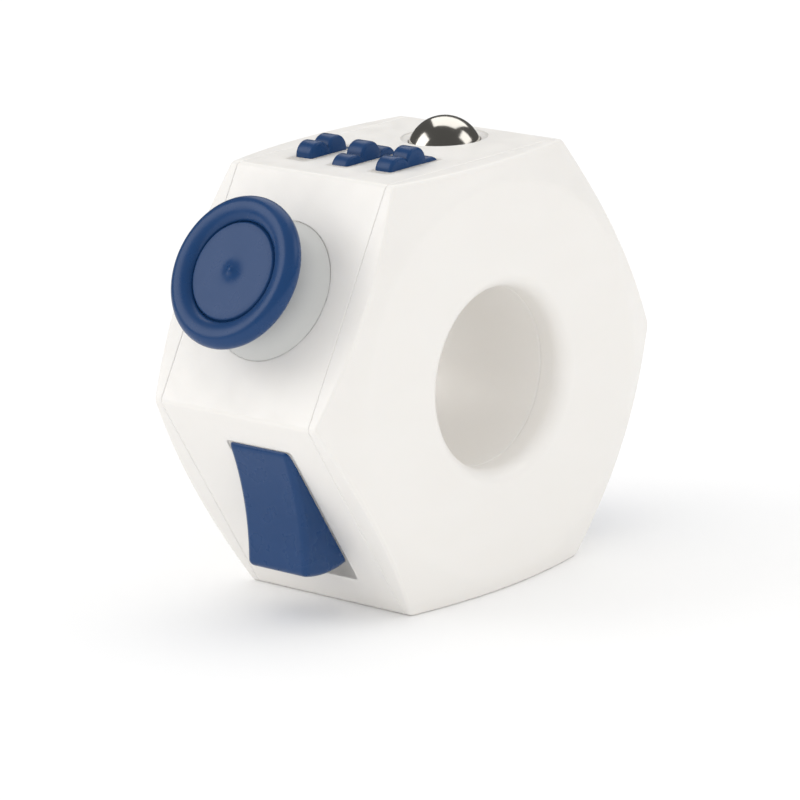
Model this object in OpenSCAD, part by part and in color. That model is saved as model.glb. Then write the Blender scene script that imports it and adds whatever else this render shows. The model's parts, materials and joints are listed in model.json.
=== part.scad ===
// Hexagonal fidget toy: a nut-shaped body with a finger hole and one plaything in each side face.
// Frame: origin at the middle of the finger hole, hole axis along Y, front towards -Y, +Z up.
// The six side faces are named by the angle of their outward normal, turning from +X towards +Z.

/* [Body] */
// Distance between opposite side faces
across_flats = 47.5; // [46:0.5:60]
// Distance between the front and rear faces
thickness = 28.5; // [28:0.5:40]
// Wall of the middle band
shell_wall = 2; // [1.6:0.1:2.6]
// Height of each cover, from the parting line to its face
cover_height = 3.4; // [3:0.1:5]
// Thickness of a cover's plate in front of its inner pocket
cover_plate = 1.9; // [1.6:0.1:2.4]
// Radius of the round flat on the front and rear faces
face_circle_r = 21.8; // [20:0.1:26]
// How far the turned chamfer drops at each corner
corner_drop = 2.5; // [1:0.1:3]

/* [Finger hole] */
// Radius of the finger hole
bore_r = 10; // [8:0.1:11]
// Wall of the sleeve that lines the hole
sleeve_wall = 1.5; // [1.2:0.1:2]
// Radius that rounds the mouth of the hole
mouth_round = 1.8; // [0.8:0.1:1.8]

/* [Gears] */
// Radius over the teeth of a gear
gear_tip_r = 5.1; // [4.8:0.1:5.3]
// Thickness of a gear
gear_w = 2.4; // [1.8:0.1:2.8]
// Number of rounded teeth on a gear
gear_teeth = 8; // [7:1:9]
// Distance between neighbouring gears
gear_pitch = 6; // [6:0.1:7]
// How far the gears stand out of the face
gear_rise = 2.05; // [1:0.05:2.2]
// Place of the gear axle along the top face
gear_x = -5.45; // [-5.7:0.05:-5.2]
// Radius of the gear axle
axle_r = 0.8; // [0.6:0.05:0.8]

/* [Ball] */
// Radius of the steel ball
ball_r = 4.25; // [4:0.05:4.6]
// Depth of the ball's centre below the face
ball_depth = 1.85; // [1.6:0.05:2.2]
// Place of the ball along the top face
ball_x = 7.65; // [7:0.05:8]

/* [Joystick] */
// Outer radius of the white dome
dome_r = 9.1; // [8.8:0.1:9.8]
// Depth of the joystick's pivot below the face
stick_depth = 4.6; // [4.4:0.1:5]
// Radius of the blue cap
cap_r = 8.5; // [7:0.1:9]
// Height of the cap's rim above the face
cap_rise = 7.4; // [7:0.1:9]
// Tilt of the stick each way
stick_tilt = 14; // [10:1:14]
// Place of the stick along its face
stick_x = 0.4; // [-0.5:0.1:0.5]
// Offset of the stick towards the rear cover
stick_y = 0.2; // [-0.5:0.1:0.5]

/* [Rocker] */
// Length of the rocker's window
rocker_window_l = 19; // [18.9:0.1:19.4]
// Width of the rocker's window
rocker_window_w = 9.3; // [8:0.1:9.6]
// Offset of the rocker towards the rear cover
rocker_y = -1.45; // [-1.5:0.05:-1]
// Depth of the rocker's pin below the face
rocker_depth = 3.7; // [3.6:0.1:4]
// Tilt of the rocker each way from its middle
rocker_tilt = 21.7; // [12:0.1:21.7]

/* [Buttons] */
// Radius of a push button
button_r = 2.6; // [2:0.1:2.8]
// Height of a button above the face
button_rise = 1.6; // [1.3:0.1:2]
// Travel of a button
button_travel = 1.2; // [0.6:0.1:1.2]
// Distance between neighbouring buttons
button_pitch = 7; // [6.8:0.1:7]

/* [Dial] */
// Radius of the spinning dial
dial_r = 7.6; // [6:0.1:8]
// Height of the dial above the face
dial_rise = 0.9; // [0.5:0.1:2]

/* [Thumb dish] */
// Radius of the thumb dish in the bottom face
dish_r = 8.9; // [7:0.1:9.2]
// Depth of the dish at its middle
dish_depth = 0.9; // [0.5:0.1:1.2]

/* [Fits] */
// Radial clearance of a running fit
running_gap = 0.05; // [0.02:0.01:0.08]
// Gap between a moving piece and its window
window_gap = 0.2; // [0.15:0.05:0.3]
// Gap around pieces that are pressed or clamped together
seat_gap = 0.02; // [0.01:0.01:0.05]

/* [Hidden] */
$fn = 96;

body_white = "#f0eeea";
inner_white = "#d9dad8";
deep_blue = "#1d3f7d";
steel = "#b9bcc0";

// Side faces, by the angle of their outward normals
top_side = 90;
joystick_side = 150;
rocker_side = 210;
dish_side = 270;
dial_side = 330;
button_side = 30;

apothem = across_flats / 2;
face_y = thickness / 2;
band_y = face_y - cover_height;
pocket_y = face_y - cover_plate;
sleeve_r = bore_r + sleeve_wall;
// The sleeve and the covers overlap in a stepped joint halfway through the sleeve's wall
step_r = bore_r + sleeve_wall / 2;
step_l = 1.2;

// Corner bosses that take the covers' pegs
boss_r = 2;
boss_l = 3.2;
boss_at = apothem * 2 / sqrt(3) - 5.4;
peg_r = 0.9;
peg_l = 2.6;

// Tongues at the ends of the inner carriers, which plug into the covers
tongue_t = 1.2;
tongue_w = 5;
tongue_y = pocket_y + 0.6;

// Gears
gear_depth = gear_tip_r - gear_rise;
gear_root_r = gear_tip_r - 1.45;
gear_lobe_r = 1.5;
slot_w = gear_w + 0.5;
slot_r = gear_tip_r + 0.15;
gear_floor = gear_depth + gear_tip_r + 0.35;
gear_phases = [10.3, 0.4, 18.2];

// Ball
ball_gap = 0.08;
throat_depth = 0.35;
ball_wall = 1.2;
cup_floor = ball_depth + ball_r + 1.3;
cup_tongue_x = ball_x - 1.6;

// Joystick, in the frame of its pivot
cap_top = stick_depth + cap_rise;
rim_r = 1.2;
cap_seat = cap_top - 2.25;
dome_wall = 1.1;
dome_gap = 0.12;
dome_skirt = dome_r * cos(78);
stem_r = 1.9;
trunnion_r = 0.9;
ring_half = 4.5;
ring_window = 2.9;
foot_top = -2.3;
foot_bottom = -3.1;
inner_depth = apothem - sleeve_r;
deep_floor = inner_depth - 2.05;
ear_x = ring_half + 0.25;
ear_t = 1.8;

// Rocker, in the frame of its pin
rocker_x = 0.2;
paddle_half = 7.1;
paddle_top = 7.2;
paddle_hollow = 0.75;
paddle_w = rocker_window_w - 2 * window_gap;
pin_r = 1;
leg_r = 0.8;
leg_l = 4.6;
rocker_ear_t = 1.6;
rocker_ear_r = 1.6;
rocker_ear_gap = 0.4;

// Buttons
button_flange = 0.9;
button_stem_r = 1.2;
button_floor = 6.6;
button_plate = 1.4;

// Dial
spindle_r = 1.5;
dial_floor = 5.4;
dial_plate = 1.4;
clip_t = 0.8;

// Thumb dish
dish_flange = 1.2;

// ---------- shared shapes ----------

// Puts its children on a side face: +Z outwards, +Y along the hole axis
module on_side(angle) rotate([0, 90 - angle, 0]) translate([0, 0, apothem]) children();

// Extrudes an X-Z outline along Y
module slab(y0, y1) translate([0, y1, 0]) rotate([90, 0, 0]) linear_extrude(y1 - y0) children();

// Round bar along Y
module bar(r, y0, y1) translate([0, y0, 0]) rotate([-90, 0, 0]) cylinder(r = r, h = y1 - y0);

// Round bar along Z
module rod(r, z0, z1) translate([0, 0, z0]) cylinder(r = r, h = z1 - z0);

// Box given by its limits
module block(x, y, z)
    translate([x[0], y[0], z[0]]) cube([x[1] - x[0], y[1] - y[0], z[1] - z[0]]);

module hexagon(flats) circle(r = flats / sqrt(3), $fn = 6);

module at_corners() for (a = [0 : 60 : 300]) rotate([0, -a, 0]) translate([boss_at, 0, 0]) children();

// Open coil of round wire along Z, with whole turns
module coil(mean_r, wire_r, z0, z1, turns) {
    sides = 8;
    steps = 16 * turns;
    rise = (z1 - z0 - 2 * wire_r) / steps;
    points = [for (i = [0 : steps], j = [0 : sides - 1])
        let (a = 360 * i / 16, b = 360 * j / sides, r = mean_r + wire_r * cos(b))
        [r * cos(a), r * sin(a), z0 + wire_r + rise * i + wire_r * sin(b)]];
    walls = [for (i = [0 : steps - 1], j = [0 : sides - 1])
        [i * sides + j, i * sides + (j + 1) % sides, (i + 1) * sides + (j + 1) % sides, (i + 1) * sides + j]];
    first = [for (j = [sides - 1 : -1 : 0]) j];
    last = [for (j = [0 : sides - 1]) steps * sides + j];
    polyhedron(points = points, faces = concat(walls, [first], [last]));
}

// The carriers' end tongues, and with a gap the sockets that they plug into
module tongues(angle, x, floor_depth, gap = 0) on_side(angle) for (s = [-1, 1]) scale([1, s, 1])
    block([x - tongue_w / 2 - gap, x + tongue_w / 2 + gap],
        [band_y - 2.5, tongue_y + gap],
        [-floor_depth - tongue_t - gap, -floor_depth + gap]);

module all_tongues(gap) {
    tongues(top_side, gear_x, gear_floor, gap);
    tongues(top_side, cup_tongue_x, cup_floor - tongue_t, gap);
    tongues(joystick_side, stick_x, deep_floor, gap);
    tongues(rocker_side, rocker_x, deep_floor, gap);
    tongues(button_side, 0, button_floor, gap);
    tongues(dial_side, 0, dial_floor, gap);
}

// ---------- casing ----------

// Slot with round ends that follow the gear's tips
module gear_slot() translate([gear_x, 0, -gear_depth]) bar(slot_r, -slot_w / 2, slot_w / 2);

module ball_opening() translate([ball_x, 0, 0]) {
    throat_r = sqrt(pow(ball_r, 2) - pow(ball_depth - throat_depth, 2)) + ball_gap;
    translate([0, 0, -throat_depth]) cylinder(r1 = throat_r, r2 = throat_r + 0.8, h = throat_depth);
    rod(throat_r, -ball_depth, 1);
    translate([0, 0, -ball_depth]) sphere(r = ball_r + ball_gap);
    rod(ball_r + ball_gap, -shell_wall - 1, -ball_depth);
}

module middle_band() color(body_white) difference() {
    union() {
        difference() {
            slab(-band_y, band_y) hexagon(across_flats);
            slab(-band_y - 1, band_y + 1) hexagon(across_flats - 2 * shell_wall);
        }
        intersection() {
            slab(-band_y, band_y) hexagon(across_flats - shell_wall);
            at_corners() {
                for (s = [-1, 1]) scale([1, s, 1]) bar(boss_r, band_y - boss_l, band_y);
                for (s = [-1, 1]) scale([1, s, 1]) block([0, 4], [band_y - boss_l, band_y], [-0.7, 0.7]);
            }
        }
    }
    at_corners() for (s = [-1, 1]) scale([1, s, 1]) bar(peg_r + seat_gap, band_y - peg_l - 0.2, band_y + 1);
    on_side(top_side) for (i = [-1 : 1]) translate([0, i * gear_pitch, 0]) gear_slot();
    on_side(top_side) translate([gear_x, 0, -gear_depth])
        bar(axle_r + seat_gap, -gear_ear_end() - 0.1, gear_ear_end() + 0.1);
    on_side(top_side) ball_opening();
    at_stick() sphere(r = dome_r + dome_gap);
    on_side(rocker_side) translate([rocker_x, rocker_y, 0])
        block([-1, 1] * rocker_window_l / 2, [-1, 1] * rocker_window_w / 2, [-shell_wall - 1, 1]);
    at_rocker() for (s = [-1, 1]) scale([1, s, 1])
        bar(rocker_ear_r + running_gap, rocker_ear_y() - running_gap, rocker_ear_y() + rocker_ear_t + running_gap);
    on_side(button_side) for (i = [-1 : 1]) translate([0, i * button_pitch, 0])
        rod(button_r + window_gap, -shell_wall - 1, 1);
    on_side(dial_side) rod(dial_r + window_gap, -shell_wall - 1, 1);
    on_side(dish_side) rod(dish_r + seat_gap, -shell_wall - 1, 1);
}

// Cover drawn at +Y, facing away from the middle
module cover() {
    cone_r = face_circle_r + cover_height * (apothem * 2 / sqrt(3) - face_circle_r) / corner_drop;
    difference() {
        intersection() {
            slab(band_y, face_y) hexagon(across_flats);
            translate([0, band_y, 0]) rotate([-90, 0, 0]) cylinder(r1 = cone_r, r2 = face_circle_r, h = cover_height);
        }
        difference() {
            intersection() {
                bar(face_circle_r + 0.7, band_y - 1, pocket_y);
                slab(band_y - 1, pocket_y) hexagon(across_flats - 2 * shell_wall);
            }
            bar(sleeve_r + 0.8, band_y - 2, pocket_y + 1);
            at_corners() bar(boss_r + 0.4, band_y - 2, pocket_y + 1);
        }
        bar(bore_r, band_y - 1, face_y + 1);
        translate([0, face_y, 0]) rotate([-90, 0, 0]) mouth();
        difference() {
            bar(sleeve_r + seat_gap, band_y - 1, band_y + step_l + seat_gap);
            bar(step_r - seat_gap, band_y - 2, band_y + step_l + 1);
        }
        all_tongues(running_gap);
    }
    at_corners() bar(peg_r, band_y - peg_l, band_y + 0.1);
}

// Cutter that rounds the mouth of the finger hole, with the face at z = 0
module mouth() rotate_extrude() difference() {
    translate([0, -mouth_round]) square([bore_r + mouth_round, mouth_round + 1]);
    translate([bore_r + mouth_round, -mouth_round]) circle(r = mouth_round);
}

module front_cover() color(body_white) scale([1, -1, 1]) cover();

module rear_cover() color(body_white) cover();

module bore_sleeve() color(body_white) difference() {
    union() {
        bar(sleeve_r, -band_y - step_l, band_y + step_l);
    }
    bar(bore_r, -face_y, face_y);
    for (s = [-1, 1]) scale([1, s, 1]) bar(step_r, band_y, face_y);
}

// ---------- gears ----------

module gear(phase) {
    difference() {
        union() {
            bar(gear_root_r, -gear_w / 2, gear_w / 2);
            for (i = [0 : gear_teeth - 1]) rotate([0, phase + i * 360 / gear_teeth, 0])
                translate([0, 0, gear_tip_r - gear_lobe_r]) bar(gear_lobe_r, -gear_w / 2, gear_w / 2);
        }
        bar(axle_r + running_gap, -gear_w, gear_w);
    }
}

module placed_gear(index) color(deep_blue) on_side(top_side)
    translate([gear_x, (index - 1) * gear_pitch, -gear_depth]) gear(gear_phases[index]);

module gear_front() placed_gear(0);

module gear_middle() placed_gear(1);

module gear_rear() placed_gear(2);

module gear_axle() color(steel) on_side(top_side) translate([gear_x, 0, -gear_depth])
    bar(axle_r, -gear_ear_end(), gear_ear_end());

function gear_ear_end() = gear_pitch + gear_w / 2 + 0.4 + 1.6;

module gear_carrier() color(inner_white) {
    on_side(top_side) translate([gear_x, 0, 0]) difference() {
        union() {
            block([-3.2, 3.2], [-1, 1] * gear_ear_end(), [-gear_floor - tongue_t, -gear_floor]);
            block([-1, 1] * tongue_w / 2, [-1, 1] * (band_y - 1), [-gear_floor - tongue_t, -gear_floor]);
            for (s = [-1, 1]) {
                gear_ear(s * gear_pitch / 2, gear_pitch - gear_w - 1.2);
                gear_ear(s * (gear_ear_end() - 0.8), 1.6);
            }
        }
        translate([0, 0, -gear_depth]) bar(axle_r + seat_gap, -thickness, thickness);
    }
    tongues(top_side, gear_x, gear_floor);
}

// Upright with an open saddle for the axle, centred at y and t thick
module gear_ear(y, t) block([-2, 2], [y - t / 2, y + t / 2], [-gear_floor - 0.1, -gear_depth]);

// ---------- ball ----------

module steel_ball() color(steel) on_side(top_side) translate([ball_x, 0, -ball_depth]) sphere(r = ball_r);

module ball_cup() color(inner_white) {
    difference() {
        intersection() {
            on_side(top_side) translate([ball_x, 0, 0]) rod(ball_r + ball_wall, -cup_floor, -shell_wall - seat_gap);
            slab(-band_y, band_y) hexagon(across_flats - 2 * shell_wall - 2 * seat_gap);
        }
        on_side(top_side) translate([ball_x, 0, -ball_depth]) sphere(r = ball_r + ball_gap);
    }
    on_side(top_side) for (s = [-1, 1]) scale([1, s, 1]) translate([cup_tongue_x, 0, 0])
        block([-1, 1] * tongue_w / 2, [ball_r - 1, band_y], [-cup_floor, -cup_floor + tongue_t]);
    tongues(top_side, cup_tongue_x, cup_floor - tongue_t);
}

// ---------- joystick ----------

module at_stick() on_side(joystick_side) translate([stick_x, stick_y, -stick_depth]) children();

module joystick_cap() color(deep_blue) at_stick() difference() {
    union() {
        translate([0, 0, cap_top - rim_r]) rotate_extrude() translate([cap_r - rim_r, 0]) circle(r = rim_r, $fn = 48);
        rod(cap_r - rim_r, cap_seat, cap_top - 1);
        rod(cap_r * 0.66, cap_seat, cap_top - 0.2);
        translate([0, 0, cap_top - 0.25]) cylinder(r1 = 1.3, r2 = 0.45, h = 0.6);
    }
    rod(stem_r + seat_gap, cap_seat - rim_r, cap_top - 1.2);
}

module joystick_dome() color(body_white) at_stick() difference() {
    union() {
        difference() {
            sphere(r = dome_r);
            sphere(r = dome_r - dome_wall);
        }
        rod(stem_r + 1.6, dome_r - dome_wall - 0.6, cap_seat);
    }
    rod(dome_r + 1, -dome_r - 1, dome_skirt);
    rod(stem_r + seat_gap, 0, cap_top);
}

module joystick_stem() color(inner_white) at_stick() {
    rod(stem_r, foot_top - 0.1, cap_top - 1.25);
    rod(stem_r + 0.4, -1.6, 1.6);
    rod(3, foot_bottom, foot_top);
    bar(trunnion_r, -ring_half + 0.2, ring_half - 0.2);
}

module gimbal_ring() color(inner_white) at_stick() {
    difference() {
        block([-1, 1] * ring_half, [-1, 1] * ring_half, [-1.3, 1.3]);
        block([-1, 1] * ring_window, [-1, 1] * ring_window, [-2, 2]);
        bar(trunnion_r + running_gap, -ring_half - 1, ring_half + 1);
    }
    for (s = [-1, 1]) scale([s, 1, 1]) translate([ring_half - 0.1, 0, 0])
        rotate([0, 90, 0]) cylinder(r = trunnion_r, h = ear_t + 0.1);
}

module joystick_carrier() color(inner_white) {
    half = ear_x + ear_t;
    at_stick() {
        floor_z = stick_depth - deep_floor;
        difference() {
            union() {
                block([-half, half], [-4, 4], [floor_z - tongue_t, floor_z]);
                for (s = [-1, 1]) scale([s, 1, 1]) {
                    block([ear_x, half], [-1.7, 1.7], [floor_z - 0.1, 0]);
                    translate([ear_x, 0, 0]) rotate([0, 90, 0]) cylinder(r = 1.7, h = ear_t);
                }
            }
            translate([-half - 1, 0, 0]) rotate([0, 90, 0]) cylinder(r = trunnion_r + running_gap, h = 2 * half + 2);
        }
        block([-1, 1] * tongue_w / 2, [-1, 1] * (band_y - 1), [floor_z - tongue_t, floor_z]);
    }
    tongues(joystick_side, stick_x, deep_floor);
}

module joystick_spring() color(steel) at_stick()
    coil(2.3, 0.25, stick_depth - deep_floor + seat_gap, foot_bottom - seat_gap, 3);

// ---------- rocker ----------

module at_rocker() on_side(rocker_side) translate([rocker_x, rocker_y, -rocker_depth]) children();

// Side outline of the paddle in its middle position: hollow front, rounded ends
module paddle_outline() {
    end_r = 10.5;
    end_z = 2.5;
    front_r = (pow(paddle_half, 2) + pow(paddle_hollow, 2)) / (2 * paddle_hollow);
    lean = asin((paddle_top - end_z) / end_r);
    end_x = paddle_half - end_r * cos(lean);
    difference() {
        union() {
            translate([-paddle_half, -1.6]) square([2 * paddle_half, paddle_top + 1.6]);
            intersection() {
                translate([end_x, end_z]) circle(r = end_r);
                translate([0, -1.6]) square([20, paddle_top + 1.6]);
            }
            intersection() {
                translate([-end_x, end_z]) circle(r = end_r);
                translate([-20, -1.6]) square([20, paddle_top + 1.6]);
            }
            translate([-leg_r, -leg_l]) square([2 * leg_r, leg_l]);
            translate([0, -leg_l]) circle(r = leg_r);
        }
        translate([0, paddle_top - paddle_hollow + front_r]) circle(r = front_r, $fn = 360);
    }
}

module rocker_paddle() color(deep_blue) at_rocker() rotate([0, rocker_tilt, 0]) difference() {
    slab(-paddle_w / 2, paddle_w / 2) paddle_outline();
    bar(pin_r + running_gap, -paddle_w, paddle_w);
}

function rocker_ear_y() = paddle_w / 2 + rocker_ear_gap;

module rocker_pin() color(steel) at_rocker()
    bar(pin_r, -rocker_ear_y() - rocker_ear_t, rocker_ear_y() + rocker_ear_t);

module rocker_carrier() color(inner_white) {
    at_rocker() {
        floor_z = rocker_depth - deep_floor;
        half = rocker_ear_y() + rocker_ear_t;
        difference() {
            union() {
                block([-5.6, 5.6], [-half, half], [floor_z - tongue_t, floor_z]);
                for (s = [-1, 1]) scale([1, s, 1]) {
                    block([-1, 1] * rocker_ear_r, [rocker_ear_y(), half], [floor_z - 0.1, 0]);
                    bar(rocker_ear_r, rocker_ear_y(), half);
                }
            }
            bar(pin_r + seat_gap, -thickness, thickness);
        }
    }
    on_side(rocker_side) translate([rocker_x, 0, 0])
        block([-1, 1] * tongue_w / 2, [-1, 1] * (band_y - 1), [-deep_floor - tongue_t, -deep_floor]);
    tongues(rocker_side, rocker_x, deep_floor);
}

// Arched click spring that the rocker's leg rides over
module rocker_leaf() color(steel) at_rocker() {
    leaf_t = 0.3;
    half = 4.6;
    floor_z = rocker_depth - deep_floor;
    crown_z = -leg_l - leg_r - 0.15;
    rise = crown_z - leaf_t - floor_z;
    arc_r = (pow(half, 2) + pow(rise, 2)) / (2 * rise);
    intersection() {
        translate([0, 0, floor_z + rise - arc_r]) difference() {
            bar(arc_r + leaf_t, -2.5, 2.5);
            bar(arc_r, -3, 3);
        }
        block([-6, 6], [-3, 3], [floor_z + seat_gap, crown_z + 1]);
    }
}

// ---------- buttons ----------

module button(index) color(deep_blue) on_side(button_side) translate([0, (index - 1) * button_pitch, 0]) {
    flange_top = -shell_wall - window_gap;
    flange_bottom = flange_top - button_flange;
    stem_end = -button_floor - button_plate - 0.2;
    rotate_extrude() polygon([
        [0, stem_end], [button_stem_r, stem_end], [button_stem_r, flange_bottom],
        [button_r + 0.6, flange_bottom], [button_r + 0.6, flange_top], [button_r, flange_top],
        [button_r, button_rise - 0.6], [button_r - 0.6, button_rise], [0, button_rise]
    ]);
}

module button_front() button(0);

module button_middle() button(1);

module button_rear() button(2);

module button_spring(index) color(steel) on_side(button_side) translate([0, (index - 1) * button_pitch, 0])
    coil(1.9, 0.22, -button_floor + seat_gap, -shell_wall - window_gap - button_flange - seat_gap, 4);

module button_spring_front() button_spring(0);

module button_spring_middle() button_spring(1);

module button_spring_rear() button_spring(2);

module button_carrier() color(inner_white) {
    on_side(button_side) difference() {
        block([-3.4, 3.4], [-1, 1] * (band_y - 0.4), [-button_floor - button_plate, -button_floor]);
        for (i = [-1 : 1]) translate([0, i * button_pitch, 0])
            rod(button_stem_r + running_gap, -button_floor - button_plate - 1, -button_floor + 1);
    }
    tongues(button_side, 0, button_floor);
}

// ---------- dial ----------

module spin_dial() color(deep_blue) on_side(dial_side) {
    flange_top = -shell_wall - window_gap;
    difference() {
        union() {
            rod(dial_r, flange_top - 0.9, dial_rise - 0.4);
            translate([0, 0, dial_rise - 0.4]) cylinder(r1 = dial_r, r2 = dial_r - 0.4, h = 0.4);
            rod(dial_r + 0.9, flange_top - 0.9, flange_top);
        }
        translate([dial_r * 0.52, 0, dial_rise + 2.2]) sphere(r = 3.2);
        for (a = [0 : 15 : 345]) rotate([0, 0, a]) translate([dial_r + 0.35, 0, 0]) rod(0.55, 0.1, dial_rise + 1);
        rod(spindle_r + seat_gap, flange_top - 2, -1);
    }
}

module dial_spindle() color(steel) on_side(dial_side) {
    rod(spindle_r, -dial_floor - dial_plate - clip_t - 0.6, -1 - seat_gap);
    rod(spindle_r + 0.9, -dial_floor + running_gap, -shell_wall - window_gap - 0.9 - seat_gap);
}

module dial_clip() color(steel) on_side(dial_side) difference() {
    rod(spindle_r + 1.1, -dial_floor - dial_plate - 0.1 - clip_t, -dial_floor - dial_plate - 0.1);
    rod(spindle_r + seat_gap, -dial_floor - 4, 0);
}

module dial_carrier() color(inner_white) {
    on_side(dial_side) difference() {
        union() {
            rod(5, -dial_floor - dial_plate, -dial_floor);
            block([-1, 1] * tongue_w / 2, [-1, 1] * (band_y - 1), [-dial_floor - tongue_t, -dial_floor]);
        }
        rod(spindle_r + running_gap, -dial_floor - dial_plate - 1, 0);
    }
    tongues(dial_side, 0, dial_floor);
}

// ---------- thumb dish ----------

module thumb_dish() color(deep_blue) on_side(dish_side) difference() {
    hollow_r = dish_r - 0.5;
    dish_sphere = (pow(hollow_r, 2) + pow(dish_depth, 2)) / (2 * dish_depth);
    union() {
        rod(dish_r, -shell_wall - dish_flange, -0.15);
        rod(dish_r + 0.8, -shell_wall - dish_flange, -shell_wall - seat_gap);
    }
    translate([0, 0, -0.15 - dish_depth + dish_sphere]) sphere(r = dish_sphere, $fn = 180);
}

middle_band();
front_cover();
rear_cover();
bore_sleeve();
gear_front();
gear_middle();
gear_rear();
gear_axle();
gear_carrier();
steel_ball();
ball_cup();
joystick_cap();
joystick_dome();
joystick_stem();
gimbal_ring();
joystick_carrier();
joystick_spring();
rocker_paddle();
rocker_pin();
rocker_carrier();
rocker_leaf();
button_front();
button_middle();
button_rear();
button_spring_front();
button_spring_middle();
button_spring_rear();
button_carrier();
spin_dial();
dial_spindle();
dial_clip();
dial_carrier();
thumb_dish();
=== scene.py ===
"""Looks of a hexagonal fidget toy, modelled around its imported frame.

Lengths are in metres, and MM turns a maker's millimetres into them. Each side face of the body has its
own frame: z outwards from the face, y along the finger hole and x around the body. The casing, each
plaything and the inner works are one class each, and each finish is one small class.
"""

import json
import logging
import math
from collections.abc import Callable, Sequence
from dataclasses import dataclass, replace
from enum import Enum

import bmesh
import bpy
from mathutils import Matrix, Vector

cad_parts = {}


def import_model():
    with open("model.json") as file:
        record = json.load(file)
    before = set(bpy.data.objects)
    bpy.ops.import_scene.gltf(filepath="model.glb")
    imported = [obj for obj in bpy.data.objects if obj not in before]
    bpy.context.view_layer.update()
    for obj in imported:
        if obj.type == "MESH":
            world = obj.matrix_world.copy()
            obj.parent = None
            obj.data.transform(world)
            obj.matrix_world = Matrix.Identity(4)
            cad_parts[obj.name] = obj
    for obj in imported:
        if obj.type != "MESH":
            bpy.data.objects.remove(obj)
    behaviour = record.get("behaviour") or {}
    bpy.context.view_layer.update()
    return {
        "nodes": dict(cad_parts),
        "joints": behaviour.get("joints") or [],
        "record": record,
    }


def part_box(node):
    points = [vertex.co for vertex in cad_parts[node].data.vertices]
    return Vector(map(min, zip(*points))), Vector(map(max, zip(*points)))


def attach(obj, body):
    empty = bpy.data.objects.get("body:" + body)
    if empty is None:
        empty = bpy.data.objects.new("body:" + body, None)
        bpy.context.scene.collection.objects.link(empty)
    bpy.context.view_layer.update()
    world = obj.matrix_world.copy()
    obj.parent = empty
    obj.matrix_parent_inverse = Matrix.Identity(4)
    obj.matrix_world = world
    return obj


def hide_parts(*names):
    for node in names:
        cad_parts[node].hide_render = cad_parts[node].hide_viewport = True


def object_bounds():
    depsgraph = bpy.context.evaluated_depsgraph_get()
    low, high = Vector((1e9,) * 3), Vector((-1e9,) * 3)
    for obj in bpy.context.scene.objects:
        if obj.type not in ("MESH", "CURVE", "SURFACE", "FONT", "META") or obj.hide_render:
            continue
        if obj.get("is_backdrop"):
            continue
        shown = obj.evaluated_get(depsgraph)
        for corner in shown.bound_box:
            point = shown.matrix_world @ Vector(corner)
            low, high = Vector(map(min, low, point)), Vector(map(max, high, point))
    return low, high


MM = 0.001
LOG = logging.getLogger("fidget_toy")
GEAR_NODES = ("gear_front", "gear_middle", "gear_rear")
BUTTON_NODES = ("button_front", "button_middle", "button_rear")

Colour = tuple[float, float, float]
Ring = tuple[float, float]
Loop = Callable[[float], Ring]


class Side(Enum):
    """The six side faces, by the angle of their outward normals in degrees."""

    BUTTONS = 30.0
    GEARS = 90.0
    JOYSTICK = 150.0
    ROCKER = 210.0
    DISH = 270.0
    DIAL = 330.0


# Measures taken from the frame


@dataclass(frozen=True)
class Body:
    """Main measures of the hexagonal body, read from the frame.

    Args:
        apothem: distance from the finger hole's axis to a side face.
        half_band: distance from the middle to a parting line.
        half_depth: distance from the middle to the front or rear face.
        bore_r: radius of the finger hole.
        sleeve_r: outer radius of the sleeve that lines the hole.
    """

    apothem: float
    half_band: float
    half_depth: float
    bore_r: float
    sleeve_r: float

    @classmethod
    def measured(cls, record: dict) -> "Body":
        """Reads the measures from the frame's boxes and the finger hole's mount.

        Args:
            record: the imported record.

        Returns:
            The measures of this body.
        """
        hole = next(m for m in record["mounts"] if m["name"] == "finger_hole")
        return cls(
            apothem=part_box("middle_band")[1].z,
            half_band=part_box("middle_band")[1].y,
            half_depth=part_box("rear_cover")[1].y,
            bore_r=hole["dims"]["r_mm"] * MM,
            sleeve_r=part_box("bore_sleeve")[1].x,
        )

    def on(self, side: Side, x: float = 0.0, y: float = 0.0, z: float = 0.0) -> Matrix:
        """Gives the matrix that takes a side face's frame, moved by x, y, z, to the row frame."""
        a = math.radians(side.value)
        turn = Matrix(
            (
                (math.sin(a), 0.0, math.cos(a), self.apothem * math.cos(a)),
                (0.0, 1.0, 0.0, 0.0),
                (-math.cos(a), 0.0, math.sin(a), self.apothem * math.sin(a)),
                (0.0, 0.0, 0.0, 1.0),
            )
        )
        return turn @ Matrix.Translation((x, y, z))

    def inwards(self, side: Side, point: Sequence[float]) -> Vector:
        """Turns a point of the row frame into the side face's own frame."""
        return self.on(side).inverted() @ Vector(point)


# Finishes


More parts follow.
